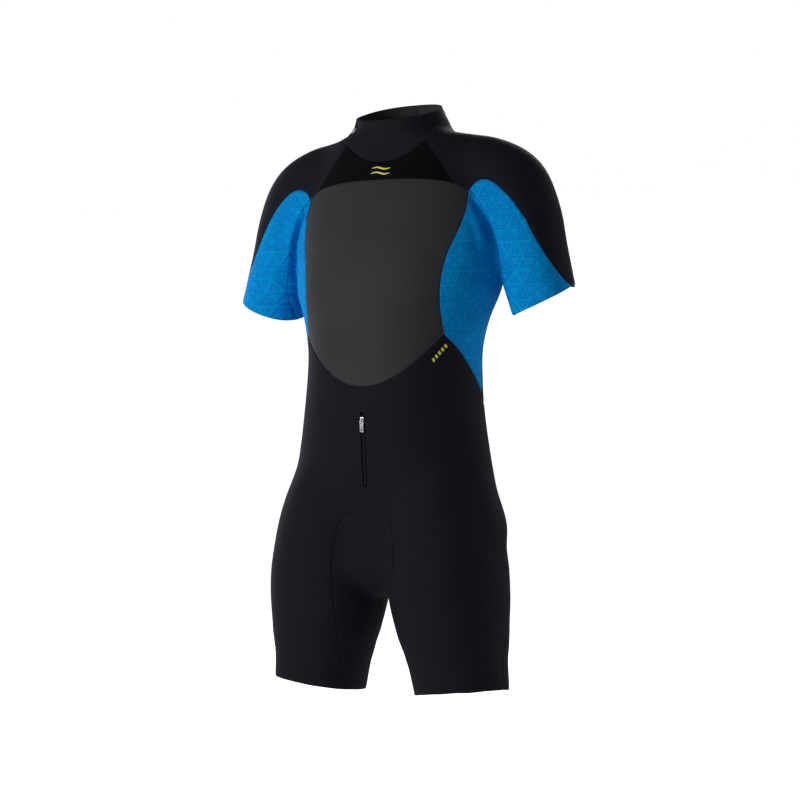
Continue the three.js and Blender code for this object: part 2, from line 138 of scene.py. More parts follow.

# %% [markdown]
# ## Materials
#
# Neoprene is a rubber foam with a knitted face. The knit gives a fine grain, a soft sheen
# at a grazing angle and slightly uneven colour. The chest panel has a smoother, matte
# face. The blue panels are embossed with a line pattern, and the grooves of the lines are
# also painted darker in their colour, as painted shade. Effects that several finishes
# share are node groups, each built once: knit grain, soft mottling and the embossed lines.

# %% Small helpers for node trees
def new_group(name, inputs, outputs):
    """A node group with named float inputs and outputs, and its input and output nodes."""
    group = bpy.data.node_groups.new(name, "ShaderNodeTree")
    for socket, value in inputs.items():
        made = group.interface.new_socket(socket, in_out="INPUT", socket_type="NodeSocketFloat")
        made.default_value = value
    for socket in outputs:
        group.interface.new_socket(socket, in_out="OUTPUT", socket_type="NodeSocketFloat")
    source = group.nodes.new("NodeGroupInput")
    sink = group.nodes.new("NodeGroupOutput")
    return group, source, sink


def math_node(tree, operation, a, b=None, clamp=False):
    """A Math node. Each operand is a socket or a number."""
    node = tree.nodes.new("ShaderNodeMath")
    node.operation = operation
    node.use_clamp = clamp
    for socket, value in zip(node.inputs, (a, b)):
        if value is None:
            continue
        if isinstance(value, (int, float)):
            socket.default_value = value
        else:
            tree.links.new(value, socket)
    return node.outputs[0]


def coordinates(tree):
    return tree.nodes.new("ShaderNodeTexCoord").outputs["Object"]


# %% A pale floor that curves up behind the suit
FLOOR_Z = -1.12


def add_floor():
    """A wide strip, extruded back and then up in a quarter turn."""
    bm = bmesh.new()
    ends = [bm.verts.new((x, -6, FLOOR_Z)) for x in (-7, 7)]
    edges = [bm.edges.new(ends)]
    steps = [(0, 9, 0)] + [(0, 1.5 * math.sin(a), 1.5 * (1 - math.cos(a)))
                           for a in (math.radians(15 * k) for k in range(1, 7))]
    last = Vector()
    for number, step in enumerate(steps):
        move = Vector(step) if number == 0 else Vector(step) - last
        last = Vector() if number == 0 else Vector(step)
        made = bmesh.ops.extrude_edge_only(bm, edges=edges)["geom"]
        bmesh.ops.translate(bm, verts=[v for v in made if isinstance(v, bmesh.types.BMVert)],
                            vec=move)
        edges = [e for e in made if isinstance(e, bmesh.types.BMEdge) and len(e.link_faces) == 1
                 and all(v in made for v in e.verts)]
    bmesh.ops.recalc_face_normals(bm, faces=bm.faces)
    mesh = bpy.data.meshes.new("floor")
    bm.to_mesh(mesh)
    bm.free()
    floor = bpy.data.objects.new("floor", mesh)
    bpy.context.scene.collection.objects.link(floor)
    paper = bpy.data.materials.new("white_paper")
    paper.use_nodes = True
    shader = paper.node_tree.nodes["Principled BSDF"]
    shader.inputs["Base Color"].default_value = (0.8, 0.8, 0.8, 1)
    shader.inputs["Roughness"].default_value = 0.9
    shader.inputs["Emission Color"].default_value = (1, 1, 1, 1)
    rays = paper.node_tree.nodes.new("ShaderNodeLightPath")
    glow = math_node(paper.node_tree, "MULTIPLY", rays.outputs["Is Camera Ray"], 0.9)
    paper.node_tree.links.new(glow, shader.inputs["Emission Strength"])
    mesh.materials.append(paper)
    for face in mesh.polygons:
        face.use_smooth = True
    return floor


floor = add_floor()
print("floor at", FLOOR_Z)

# %% Knit grain: fine rows of stitches with a little unevenness
def make_knit_group():
    group, source, sink = new_group(
        "knit_grain", {"Rows per metre": 900, "Unevenness": 0.5}, ["Height", "Tone"])
    where = coordinates(group)
    rows = group.nodes.new("ShaderNodeTexWave")
    rows.wave_type = "BANDS"
    rows.bands_direction = "Z"
    rows.inputs["Distortion"].default_value = 1.2
    rows.inputs["Detail"].default_value = 1
    group.links.new(where, rows.inputs["Vector"])
    group.links.new(math_node(group, "MULTIPLY", source.outputs["Rows per metre"], 0.314),
                    rows.inputs["Scale"])
    fuzz = group.nodes.new("ShaderNodeTexNoise")
    fuzz.inputs["Detail"].default_value = 3
    group.links.new(where, fuzz.inputs["Vector"])
    group.links.new(source.outputs["Rows per metre"], fuzz.inputs["Scale"])
    uneven = math_node(group, "MULTIPLY", fuzz.outputs["Fac"], source.outputs["Unevenness"])
    height = math_node(group, "ADD", rows.outputs["Fac"], uneven)
    group.links.new(height, sink.inputs["Height"])
    group.links.new(fuzz.outputs["Fac"], sink.inputs["Tone"])
    return group


# %% Soft mottling: slow changes of tone over a hand's width
def make_mottle_group():
    group, source, sink = new_group("soft_mottle", {"Size": 14}, ["Tone"])
    slow = group.nodes.new("ShaderNodeTexNoise")
    slow.inputs["Detail"].default_value = 4
    slow.inputs["Roughness"].default_value = 0.6
    group.links.new(coordinates(group), slow.inputs["Vector"])
    group.links.new(source.outputs["Size"], slow.inputs["Scale"])
    group.links.new(slow.outputs["Fac"], sink.inputs["Tone"])
    return group


# %% Embossed lines: nested triangles on a net of three directions
def make_triangle_group():
    """Distances to three families of lines that meet in common points give the distance
    to the edge of each triangle of the net. A line is drawn at one or two such distances,
    by chance from triangle to triangle, so that the net looks drawn and not machined."""
    group, source, sink = new_group(
        "triangle_lines", {"Pitch": 0.022, "Line": 0.03, "Outer": 0.085, "Inner": 0.2},
        ["Groove"])
    split = group.nodes.new("ShaderNodeSeparateXYZ")
    group.links.new(coordinates(group), split.inputs[0])
    across = math_node(group, "ADD", math_node(group, "ABSOLUTE", split.outputs["X"]),
                       math_node(group, "MULTIPLY", split.outputs["Y"], 0.8))
    nearest = None
    cell = group.nodes.new("ShaderNodeCombineXYZ")
    for number, degrees in enumerate((0, 60, 120)):
        turn = math.radians(degrees)
        beside = math_node(group, "ADD",
                           math_node(group, "MULTIPLY", across, -math.sin(turn)),
                           math_node(group, "MULTIPLY", split.outputs["Z"], math.cos(turn)))
        steps = math_node(group, "DIVIDE", beside, source.outputs["Pitch"])
        part = math_node(group, "FRACT", steps)
        away = math_node(group, "MINIMUM", part, math_node(group, "SUBTRACT", 1, part))
        nearest = away if nearest is None else math_node(group, "MINIMUM", nearest, away)
        group.links.new(math_node(group, "FLOOR", steps), cell.inputs[number])
    chance = group.nodes.new("ShaderNodeTexWhiteNoise")
    group.links.new(cell.outputs[0], chance.inputs["Vector"])

    def ring(place):
        off = math_node(group, "ABSOLUTE", math_node(group, "SUBTRACT", nearest, place))
        return math_node(group, "LESS_THAN", off, source.outputs["Line"])

    inner = math_node(group, "MULTIPLY", ring(source.outputs["Inner"]),
                      math_node(group, "LESS_THAN", chance.outputs["Value"], 0.6))
    outer = math_node(group, "MULTIPLY", ring(source.outputs["Outer"]),
                      math_node(group, "GREATER_THAN", chance.outputs["Value"], 0.12))
    group.links.new(math_node(group, "MAXIMUM", inner, outer), sink.inputs["Groove"])
    return group


KNIT = make_knit_group()
MOTTLE = make_mottle_group()
TRIANGLES = make_triangle_group()
print("groups:", KNIT.name, MOTTLE.name, TRIANGLES.name)

# %% A material builder for the cloths
def use_group(tree, group, **values):
    node = tree.nodes.new("ShaderNodeGroup")
    node.node_tree = group
    for name, value in values.items():
        node.inputs[name.replace("_", " ")].default_value = value
    return node


def two_tones(tree, factor, dark, light, low=0.3, high=0.7):
    """A colour between two tones, by a factor that changes over the surface."""
    ramp = tree.nodes.new("ShaderNodeValToRGB")
    ramp.color_ramp.elements[0].position = low
    ramp.color_ramp.elements[1].position = high
    ramp.color_ramp.elements[0].color = (*dark, 1)
    ramp.color_ramp.elements[1].color = (*light, 1)
    tree.links.new(factor, ramp.inputs["Fac"])
    return ramp.outputs["Color"]


def new_material(name, **sockets):
    """A material with a Principled BSDF whose even values are set on its own sockets."""
    material = bpy.data.materials.new(name)
    material.use_nodes = True
    shader = material.node_tree.nodes["Principled BSDF"]
    for socket, value in sockets.items():
        shader.inputs[socket.replace("_", " ")].default_value = value
    return material, material.node_tree, shader


def bump(tree, shader, height, strength, distance):
    node = tree.nodes.new("ShaderNodeBump")
    node.inputs["Strength"].default_value = strength
    node.inputs["Distance"].default_value = distance
    tree.links.new(height, node.inputs["Height"])
    tree.links.new(node.outputs["Normal"], shader.inputs["Normal"])


def rough_range(tree, shader, factor, low, high):
    node = tree.nodes.new("ShaderNodeMapRange")
    node.inputs["To Min"].default_value = low
    node.inputs["To Max"].default_value = high
    tree.links.new(factor, node.inputs["Value"])
    tree.links.new(node.outputs["Result"], shader.inputs["Roughness"])


def cloth(name, dark, light, rows=900, rough=(0.6, 0.8), sheen=0.1, tint=(0.6, 0.65, 0.8),
          grain=0.35, gloss=0.2, embossed=False):
    material, tree, shader = new_material(
        name, Sheen_Weight=sheen, Sheen_Roughness=0.4, Sheen_Tint=(*tint, 1),
        Specular_IOR_Level=gloss)
    knit = use_group(tree, KNIT, Rows_per_metre=rows, Unevenness=0.6)
    mottle = use_group(tree, MOTTLE, Size=11)
    tone = math_node(tree, "ADD", math_node(tree, "MULTIPLY", knit.outputs["Tone"], 0.4),
                     math_node(tree, "MULTIPLY", mottle.outputs["Tone"], 0.6))
    height = knit.outputs["Height"]
    color = two_tones(tree, tone, dark, light)
    if embossed:
        lines = use_group(tree, TRIANGLES)
        # The pressed grooves are painted darker and bluer here: painted shade in the grooves, on
        # top of the sunk bump below.
        mix = tree.nodes.new("ShaderNodeMix")
        mix.data_type = "RGBA"
        mix.blend_type = "MULTIPLY"
        mix.inputs["B"].default_value = (0.5, 0.6, 0.76, 1)
        tree.links.new(lines.outputs["Groove"], mix.inputs["Factor"])
        tree.links.new(color, mix.inputs["A"])
        color = mix.outputs["Result"]
        height = math_node(tree, "SUBTRACT", math_node(tree, "MULTIPLY", height, 0.4),
                           math_node(tree, "MULTIPLY", lines.outputs["Groove"], 2.0))
    tree.links.new(color, shader.inputs["Base Color"])
    rough_range(tree, shader, tone, *rough)
    bump(tree, shader, height, grain, 0.0002)
    return material


# %% The suit's cloths
BODY_CLOTH = cloth("navy_jersey", (0.0046, 0.005, 0.0092), (0.0082, 0.0089, 0.0152),
                   rough=(0.7, 0.88), sheen=0.02, gloss=0.12)
YOKE_CLOTH = cloth("yoke_jersey", (0.0012, 0.0012, 0.002), (0.0024, 0.0024, 0.0036),
                   sheen=0.01, gloss=0.05)
CHEST_CLOTH = cloth("chest_mesh_skin", (0.022, 0.0228, 0.025), (0.031, 0.032, 0.0345),
                    rows=1300, rough=(0.55, 0.68), sheen=0.02, grain=0.2, gloss=0.15)
BLUE_CLOTH = cloth("blue_embossed_jersey", (0.0, 0.24, 0.6), (0.0, 0.3, 0.71),
                   rough=(0.7, 0.85), sheen=0.0, tint=(0.4, 0.7, 1), gloss=0.05,
                   embossed=True)
LINING = cloth("grey_lining", (0.018, 0.018, 0.019), (0.034, 0.034, 0.036), rows=700,
               rough=(0.75, 0.9), sheen=0.3, tint=(0.7, 0.7, 0.7), grain=0.5)
print("cloths:", [m.name for m in (BODY_CLOTH, YOKE_CLOTH, CHEST_CLOTH, BLUE_CLOTH, LINING)])

# %% [markdown]
# ## The body of the suit
#
# Worn neoprene has almost no folds: it is a tight skin over a torso, two upper arms and
# two thighs. The skin could be sculpted, but rows of measures, as a pattern cutter takes
# them, are easier to check: each row gives a height and how far the body reaches to each
# side. A grid is wrapped round the rows to make each tube. The tubes are then melted into
# one skin by a voxel remesh, and every point is drawn back to the tubes, with a small
# fillet where two tubes meet.

# %% Rows of measures, in millimetres
# Torso from the crotch up: height, half width, front, back, middle.
TORSO = [
    (-736, 40, 34, 34, -24), (-716, 104, 66, 58, -24), (-690, 158, 86, 102, -24),
    (-638, 184, 87, 129, -21), (-572, 164, 89, 130, -17), (-507, 151, 97.9, 122, -14),
    (-441, 141, 105.9, 120, -12), (-398, 138, 104, 118, -10), (-354, 138, 108, 114, -6),
    (-310, 148, 117, 106, 2), (-263, 166, 124, 96, 12), (-210, 173, 120, 88, 20),
    (-160, 171, 110, 81, 27), (-115, 165, 98, 76, 32), (-80, 153, 88, 74, 34),
    (-52, 140, 80, 76, 32), (-34, 122, 74, 80, 28), (-22, 92, 69, 84, 24), (-12, 76, 66, 86, 22),
    (4, 70, 63, 82, 14), (24, 65, 61, 70, 6), (70, 63, 60, 62, 4),
]
# Arm from the neck out: x, y, z of the middle, half height, half depth.
ARM = [
    (0, 30, -84, 46, 48), (60, 31, -77, 49, 54), (105, 32, -80, 55, 58),
    (141, 32, -92, 62, 60), (175, 32, -115, 65, 61), (200, 31, -158, 59, 58),
    (216, 29, -212, 54, 56), (234, 26, -276, 51, 53), (250, 23, -325, 50, 52),
]
# Leg from the hip down: x, y, z of the middle, half width, front, back.
LEG = [
    (70, -24, -490, 40, 46, 54), (82, -26, -560, 70, 72, 78), (92, -26, -620, 83, 92, 94),
    (99, -26, -690, 90, 100, 99), (105, -26, -740, 89, 95, 92), (110, -25, -780, 84, 89, 84),
    (113.5, -24, -802, 80, 85, 79), (116, -23, -824, 76, 80, 75), (119, -22, -848, 72, 77, 71),
    (128, -18, -920, 67, 73, 66),
]
SQUARENESS = 2.3
AROUND = 96
STEPS_PER_ROW = 6


# %% Wrap a grid round the rows
def between(rows, t):
    """The measures at a place between two rows, on smooth curves through all of them."""
    last = len(rows) - 1
    i = min(int(t), last - 1)
    f = t - i
    a, b, c, d = (rows[min(max(k, 0), last)] for k in (i - 1, i, i + 1, i + 2))
    return [0.5 * (2 * q + (r - p) * f + (2 * p - 5 * q + 4 * r - s) * f * f
                   + (3 * q - p - 3 * r + s) * f ** 3) for p, q, r, s in zip(a, b, c, d)]


def rounded(value):
    return math.copysign(abs(value) ** (2 / SQUARENESS), value)


def tube(rows, place):
    """A closed tube. place(rows, t) gives its middle, its sideways direction and the half
    width, front and back there."""
    bm = bmesh.new()
    steps = (len(rows) - 1) * STEPS_PER_ROW
    bmesh.ops.create_grid(bm, x_segments=AROUND, y_segments=steps, size=1)
    for v in bm.verts:
        t = (v.co.y + 1) / 2 * (len(rows) - 1)
        angle = (v.co.x + 1) * math.pi
        middle, across, half, front, back = place(rows, t)
        depth = rounded(math.sin(angle))
        v.co = middle + across * half * rounded(math.cos(angle))
        v.co.y += depth * (back if depth > 0 else front)
    bmesh.ops.remove_doubles(bm, verts=bm.verts, dist=0.00005)
    bmesh.ops.holes_fill(bm, edges=[e for e in bm.edges if e.is_boundary])
    bmesh.ops.recalc_face_normals(bm, faces=bm.faces)
    return bm


def torso_place(rows, t):
    z, half, front, back, middle = (v * MM for v in between(rows, t))
    return Vector((0, middle, z)), Vector((1, 0, 0)), half, front, back


def limb_place(side):
    def place(rows, t):
        last = len(rows) - 1
        near = between(rows, max(t - 0.5, 0))
        far = between(rows, min(t + 0.5, last))
        ahead = Vector((side * (far[0] - near[0]), far[1] - near[1], far[2] - near[2]))
        row = [v * MM for v in between(rows, t)]
        across = Vector((0, 1, 0)).cross(ahead).normalized()
        back = row[5] if len(row) > 5 else row[4]
        return Vector((side * row[0], row[1], row[2])), across, row[3], row[4], back
    return place


def body_tubes():
    tubes = {"torso": tube(TORSO, torso_place)}
    for name, side in SIDES:
        tubes["arm_" + name] = tube(ARM, limb_place(side))
        tubes["leg_" + name] = tube(LEG, limb_place(side))
    return tubes


tubes = body_tubes()
print("tubes:", {name: len(bm.faces) for name, bm in tubes.items()})

# %% Melt the tubes into one skin
VOXEL = 0.0042


def link(name, bm):
    """A new object in the scene, from a bmesh."""
    mesh = bpy.data.meshes.new(name)
    bm.to_mesh(mesh)
    bm.free()
    obj = bpy.data.objects.new(name, mesh)
    bpy.context.scene.collection.objects.link(obj)
    return obj


def bake_modifiers(obj):
    """Applies an object's modifiers to its mesh."""
    bpy.context.view_layer.update()
    graph = bpy.context.evaluated_depsgraph_get()
    mesh = bpy.data.meshes.new_from_object(obj.evaluated_get(graph))
    obj.modifiers.clear()
    obj.data = mesh
    return obj


def smoothed(bm, verts, factor):
    bmesh.ops.smooth_vert(bm, verts=verts, factor=factor, use_axis_x=True, use_axis_y=True,
                          use_axis_z=True)


def remesh(obj, size):
    mod = obj.modifiers.new("remesh", "REMESH")
    mod.mode = "VOXEL"
    mod.voxel_size = size
    return bake_modifiers(obj)


def melted(tubes):
    joined = bmesh.new()
    for bm in tubes.values():
        part = bpy.data.meshes.new("part")
        bm.to_mesh(part)
        joined.from_mesh(part)
        bpy.data.meshes.remove(part)
    return remesh(link("body_skin", joined), VOXEL)


body = melted(tubes)
print("melted skin:", len(body.data.vertices), "points")

# %% Draw every point back to the tubes
FILLET = 0.012
DEEPEST = 0.012


def field(trees, point):
    """How far a point is outside the tubes, and which way is out. Where two tubes are
    about as near, the two answers are mixed, which rounds the corner between them."""
    best = None
    for tree in trees:
        spot, normal, _, away = tree.find_nearest(point)
        inside = (point - spot).dot(normal) < 0 and away < DEEPEST
        far = -away if inside else away
        out = normal
        if best is None:
            best = (far, out)
            continue
        mix = min(max(0.5 + 0.5 * (far - best[0]) / FILLET, 0), 1)
        value = far * (1 - mix) + best[0] * mix - FILLET * mix * (1 - mix)
        best = (value, (out * (1 - mix) + best[1] * mix).normalized())
    return best


def draw_back(body, tubes, rounds=2):
    trees = {name: BVHTree.FromBMesh(bm) for name, bm in tubes.items()}
    bm = bmesh.new()
    bm.from_mesh(body.data)
    for _ in range(3):
        smoothed(bm, bm.verts, 0.5)
    for _ in range(rounds):
        for v in bm.verts:
            side = "left" if v.co.x > 0 else "right"
            near = [trees["torso"]]
            if v.co.z > -0.42:
                near.append(trees["arm_" + side])
            else:
                near += [trees["leg_" + side]]
                if abs(v.co.x) < 0.03:
                    near.append(trees["leg_" + ("right" if side == "left" else "left")])
            far, out = field(near, v.co)
            v.co -= out * far
        smoothed(bm, bm.verts, 0.35)
    return bm


skin = draw_back(body, tubes)
bpy.data.objects.remove(body)
print("skin drawn back:", len(skin.verts), "points")

# %% [markdown]
# ## Openings, hems and small movements of the cloth
#
# The skin is still closed like a bag. Planes trim it at the collar, the cuffs and the hems
# of the legs, where the real suit has a plain cut edge. A cut edge of neoprene is never
# quite straight, so the rim is moved by a slow, shallow wave. Creases lie only where the
# arm meets the chest and where the thighs meet, so each is a line that pushes the cloth in.

# %% Creases
# Each crease: points in x and z, the range of y it works in, its depth and its half width.
ARMPIT_FOLDS = [
    ([(143, -128), (163, -162), (174, -205), (178, -240)], (-45, 25), -8.5, 4.5),
    ([(152, -126), (172, -160), (184, -198)], (-50, 10), 4.2, 5),
    ([(140, -142), (153, -174), (163, -207)], (-60, 5), 3.2, 5),
    ([(144, -150), (152, -180), (158, -214)], (-70, 0), -1.6, 5),
    ([(170, -122), (190, -152), (204, -190)], (-50, 10), -1.4, 6),
    ([(136, -230), (152, -246), (170, -252)], (-70, 30), -1.2, 7),
]
GROIN_FOLDS = [
    ([(-62, -560), (-40, -580), (-16, -602), (6, -628)], (-150, -20), -2.6, 8),
    ([(62, -568), (40, -588), (16, -606)], (-150, -20), -1.6, 8),
    ([(-70, -590), (-48, -606), (-26, -622)], (-150, -20), 1.4, 9),
]
FOLD_FADE = 0.03


def near_line(point, line):
    """How far a flat point is from a line of points, and how far along it is, 0 to 1."""
    best = (1e9, 0)
    for i, (a, b) in enumerate(zip(line, line[1:])):
        run = b - a
        t = min(max((point - a).dot(run) / run.length_squared, 0), 1)
        away = (point - a - run * t).length
        if away < best[0]:
            best = (away, (i + t) / (len(line) - 1))
    return best


def press_folds(bm, folds, mirrored):
    """Moves the skin in or out along each fold line, most at its middle."""
    bm.normal_update()
    moves = {}
    for side in ((1, -1) if mirrored else (1,)):
        for line, (y_low, y_high), depth, width in folds:
            points = [Vector((side * x, z)) * MM for x, z in line]
            reach = 3 * width * MM
            low_x, high_x = (f(p.x for p in points) for f in (min, max))
            low_z, high_z = (f(p.y for p in points) for f in (min, max))
            for v in bm.verts:
                x, y, z = v.co
                if not (low_x - reach < x < high_x + reach and low_z - reach < z < high_z + reach):
                    continue
                if not y_low * MM - FOLD_FADE < y < y_high * MM + FOLD_FADE:
                    continue
                away, along = near_line(Vector((x, z)), points)
                inside = min(y - y_low * MM, y_high * MM - y)
                fade = min(max(1 + inside / FOLD_FADE, 0), 1)
                fade *= math.sin(math.pi * min(max(0.06 + 0.88 * along, 0), 1)) ** 0.6
                amount = depth * MM * fade * math.exp(-(away / (width * MM)) ** 2)
                moves[v] = moves.get(v, 0) + amount
    for v, amount in moves.items():
        v.co += v.normal * amount
    return len(moves)


print("fold points:", press_folds(skin, ARMPIT_FOLDS, True), press_folds(skin, GROIN_FOLDS, False))

# %% Slow unevenness, as cloth on a body always has
def settle(bm):
    bm.normal_update()
    for v in bm.verts:
        slow = noise.noise(v.co * 7.0 + Vector((3.1, 0, 0)))
        small = noise.noise(v.co * 21.0)
        v.co += v.normal * (0.0011 * slow + 0.00035 * small)


settle(skin)

# %% Trim the openings
COLLAR_POINT = Vector((0, 82, 38)) * MM
COLLAR_OUT = Vector((0, -0.33, 1))
CUFF_POINT = Vector((237, 26, -285)) * MM
CUFF_LEAN = 0.42
CUFF_TILT = 0.25
HEM_POINT = Vector((122, 0, -884)) * MM
HEM_LEAN = 0.12
HEM_TILT = -0.1
CUFF_ZONE = (0.1875, -0.425, -0.21)


def trim(bm, point, outward, wanted=lambda co: True):
    """Cuts a plane through the chosen faces and takes away what lies beyond it."""
    faces = [f for f in bm.faces if wanted(f.calc_center_median())]
    edges = list({e for f in faces for e in f.edges})
    verts = list({v for f in faces for v in f.verts})
    bmesh.ops.bisect_plane(bm, geom=verts + edges + faces, plane_co=point,
                           plane_no=outward, clear_outer=False, dist=1e-5)
    beyond = [f for f in bm.faces if wanted(f.calc_center_median())
              and (f.calc_center_median() - point).dot(outward) > 0]
    bmesh.ops.delete(bm, geom=beyond, context="FACES")


def trim_openings(bm):
    trim(bm, COLLAR_POINT, COLLAR_OUT)
    edge_x, low, high = CUFF_ZONE
    for _, side in SIDES:
        mirror = Vector((side, 1, 1))
        trim(bm, CUFF_POINT * mirror, Vector((side * CUFF_LEAN, CUFF_TILT, -1)),
             lambda co: side * co.x > edge_x and low < co.z < high)
        trim(bm, HEM_POINT * mirror, Vector((side * HEM_LEAN, HEM_TILT, -1)),
             lambda co: side * co.x > 0 and co.z < -0.8)


trim_openings(skin)
print("rims:", sum(e.is_boundary for e in skin.edges), "edges")

# %% A slow wave in the rims
RIM_REACH = 0.014


def wave_rims(bm):
    rim = [v.co.copy() for v in bm.verts if v.is_boundary and v.co.z < -0.2]
    for v in bm.verts:
        if v.co.z > -0.2:
            continue
        near = min(((v.co - r).length for r in rim if abs(v.co.z - r.z) < RIM_REACH), default=1)
        if near < RIM_REACH:
            share = 1 - near / RIM_REACH
            height = 0.0011 if v.co.z < -0.8 else 0.0007
            v.co.z += share * height * noise.noise(v.co * 34 + Vector((0, 7, 0)))
            v.co += v.normal * share * 0.0012 * noise.noise(v.co * 26)


skin.normal_update()
wave_rims(skin)

# %% Cut the two zip slots
def zip_slot(name):
    """The slot of a zip, from the boxes of its stops: half width, low end and high end."""
    half = 0.0066 if name == "back_zip" else 0.0034
    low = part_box(name + "_bottom_stop")[0].z - 0.003
    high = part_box(name + "_top_stop_left")[1].z + 0.003
    return half, low, high


def cut_slot(bm, name, toward):
    half, low, high = zip_slot(name)
    here = lambda co: abs(co.x) < 0.03 and toward * co.y > 0.04 and low - 0.02 < co.z < high + 0.02
    for point, out in ((Vector((half, 0, 0)), Vector((1, 0, 0))),
                       (Vector((-half, 0, 0)), Vector((-1, 0, 0))),
                       (Vector((0, 0, low)), Vector((0, 0, -1))),
                       (Vector((0, 0, high)), Vector((0, 0, 1)))):
        faces = [f for f in bm.faces if here(f.calc_center_median())]
        edges = list({e for f in faces for e in f.edges})
        verts = list({v for f in faces for v in f.verts})
        bmesh.ops.bisect_plane(bm, geom=verts + edges + faces, plane_co=point, plane_no=out)
    slot = [f for f in bm.faces if here(f.calc_center_median())
            and abs(f.calc_center_median().x) < half and low < f.calc_center_median().z < high]
    bmesh.ops.delete(bm, geom=slot, context="FACES")
    return len(slot)


print("slots:", cut_slot(skin, "back_zip", 1), cut_slot(skin, "relief_zip", -1))

# %% [markdown]
# ## Panels
#
# The suit is cut from sixteen flat panels, glued edge to edge and sewn over. The frame
# already has each panel as a solid, so a seam runs where two solids are equally near.
# That distance is known at every point of the skin. Where it changes sign along an edge,
# the edge is split just there, and the faces are cut along the new points. It gives
# clean seams without drawing them again. Cutting with a knife tool would need each line
# twice, and a boolean leaves ragged strips on so thin a shell.

# %% How near every point is to each panel
PANELS = [
    "collar_front", "collar_back_left", "collar_back_right", "upper_chest_yoke",
    "chest_panel", "shoulder_panel_left", "shoulder_panel_right", "underarm_panel_left",
    "underarm_panel_right", "side_panel_left", "side_panel_right", "front_body_panel",
    "crotch_gusset", "back_panel_left", "back_panel_right", "seat_panel",
]
NEAR = 0.02


def cad_tree(node):
    bm = bmesh.new()
    bm.from_mesh(NODES[node].data)
    tree = BVHTree.FromBMesh(bm)
    bm.free()
    return tree


PANEL_TREES = [cad_tree(name) for name in PANELS]
PANEL_BOXES = [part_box(name) for name in PANELS]


def distances(point):
    """The distance to each panel, with far ones left at a round number."""
    out = []
    for tree, (low, high) in zip(PANEL_TREES, PANEL_BOXES):
        outside = max(max(l - c, c - h) for l, c, h in zip(low, point, high))
        if outside > NEAR:
            out.append(1.0)
            continue
        out.append(tree.find_nearest(point)[3])
    return out


bmesh.ops.triangulate(skin, faces=skin.faces)
skin.verts.ensure_lookup_table()
nearness = [distances(v.co) for v in skin.verts]
print("points by panel:", {name: sum(min(range(16), key=d.__getitem__) == i for d in nearness)
                           for i, name in enumerate(PANELS)})

# %% Split the skin along the seams
CROWDED = 0.0019


def split_panels(bm, nearness):
    """Labels each face with its panel and returns the seam points."""
    owner = {v: min(range(len(PANELS)), key=nearness[v.index].__getitem__) for v in bm.verts}
    gaps = {v: nearness[v.index] for v in bm.verts}
    seam = set()
    for edge in list(bm.edges):
        a, b = edge.verts
        i, j = owner[a], owner[b]
        if i == j:
            continue
        at_a = gaps[a][j] - gaps[a][i]
        at_b = gaps[b][i] - gaps[b][j]
        share = at_a / (at_a + at_b) if at_a + at_b > 0 else 0.5
        seam.add(bmesh.utils.edge_split(edge, a, min(max(share, 0.02), 0.98))[1])
    for face in list(bm.faces):
        cuts = [v for v in face.verts if v in seam]
        if len(cuts) == 2:
            bmesh.utils.face_split(face, cuts[0], cuts[1])
        elif len(cuts) == 3:
            for v in bmesh.ops.poke(bm, faces=[face])["verts"]:
                seam.add(v)
    panel = bm.faces.layers.int.new("panel")
    for face in bm.faces:
        face[panel] = next((owner[v] for v in face.verts if v in owner), -1)
    return panel, seam


def on_line(v, panel):
    """Whether a point lies on a seam or on a rim."""
    return v.is_boundary or len({f[panel] for f in v.link_faces}) > 1


def tidy_lines(bm, panel):
    """Closes up points that crowd a seam or a rim, which would crease the rounded edge."""
    short = [e for e in bm.edges if e.calc_length() < CROWDED
             and (e.is_boundary or len({f[panel] for f in e.link_faces}) > 1)]
    bmesh.ops.collapse(bm, edges=short)
    target = {}
    for v in bm.verts:
        if not on_line(v, panel):
            continue
        for edge in v.link_edges:
            other = edge.other_vert(v)
            if edge.calc_length() < CROWDED and other not in target and not on_line(other, panel):
                target[other] = v
    bmesh.ops.weld_verts(bm, targetmap=target)
    bmesh.ops.dissolve_degenerate(bm, dist=0.0001, edges=bm.edges)
    bmesh.ops.triangulate(bm, faces=[f for f in bm.faces if len(f.verts) > 3])
    return len(short), len(target)


def relax_beside_lines(bm, panel):
    """Spreads the points next to a line evenly."""
    lines = {v for v in bm.verts if on_line(v, panel)}
    beside = {e.other_vert(v) for v in lines for e in v.link_edges} - lines
    for _ in range(2):
        smoothed(bm, list(beside), 0.5)


def smooth_seams(bm, panel, rounds=3):
    """Evens out the seam lines, and leaves corners of three panels where they are."""
    for _ in range(rounds):
        moves = {}
        for v in bm.verts:
            lines = [e for e in v.link_edges if len({f[panel] for f in e.link_faces}) > 1]
            if len(lines) == 2 and not v.is_boundary:
                middle = sum((e.other_vert(v).co for e in lines), Vector()) / 2
                moves[v] = v.co.lerp(middle, 0.5)
        for v, co in moves.items():
            v.co = co


panel_layer, seam_points = split_panels(skin, nearness)
print("seam points:", len(seam_points), "closed up:", tidy_lines(skin, panel_layer))
smooth_seams(skin, panel_layer)
relax_beside_lines(skin, panel_layer)
skin.normal_update()

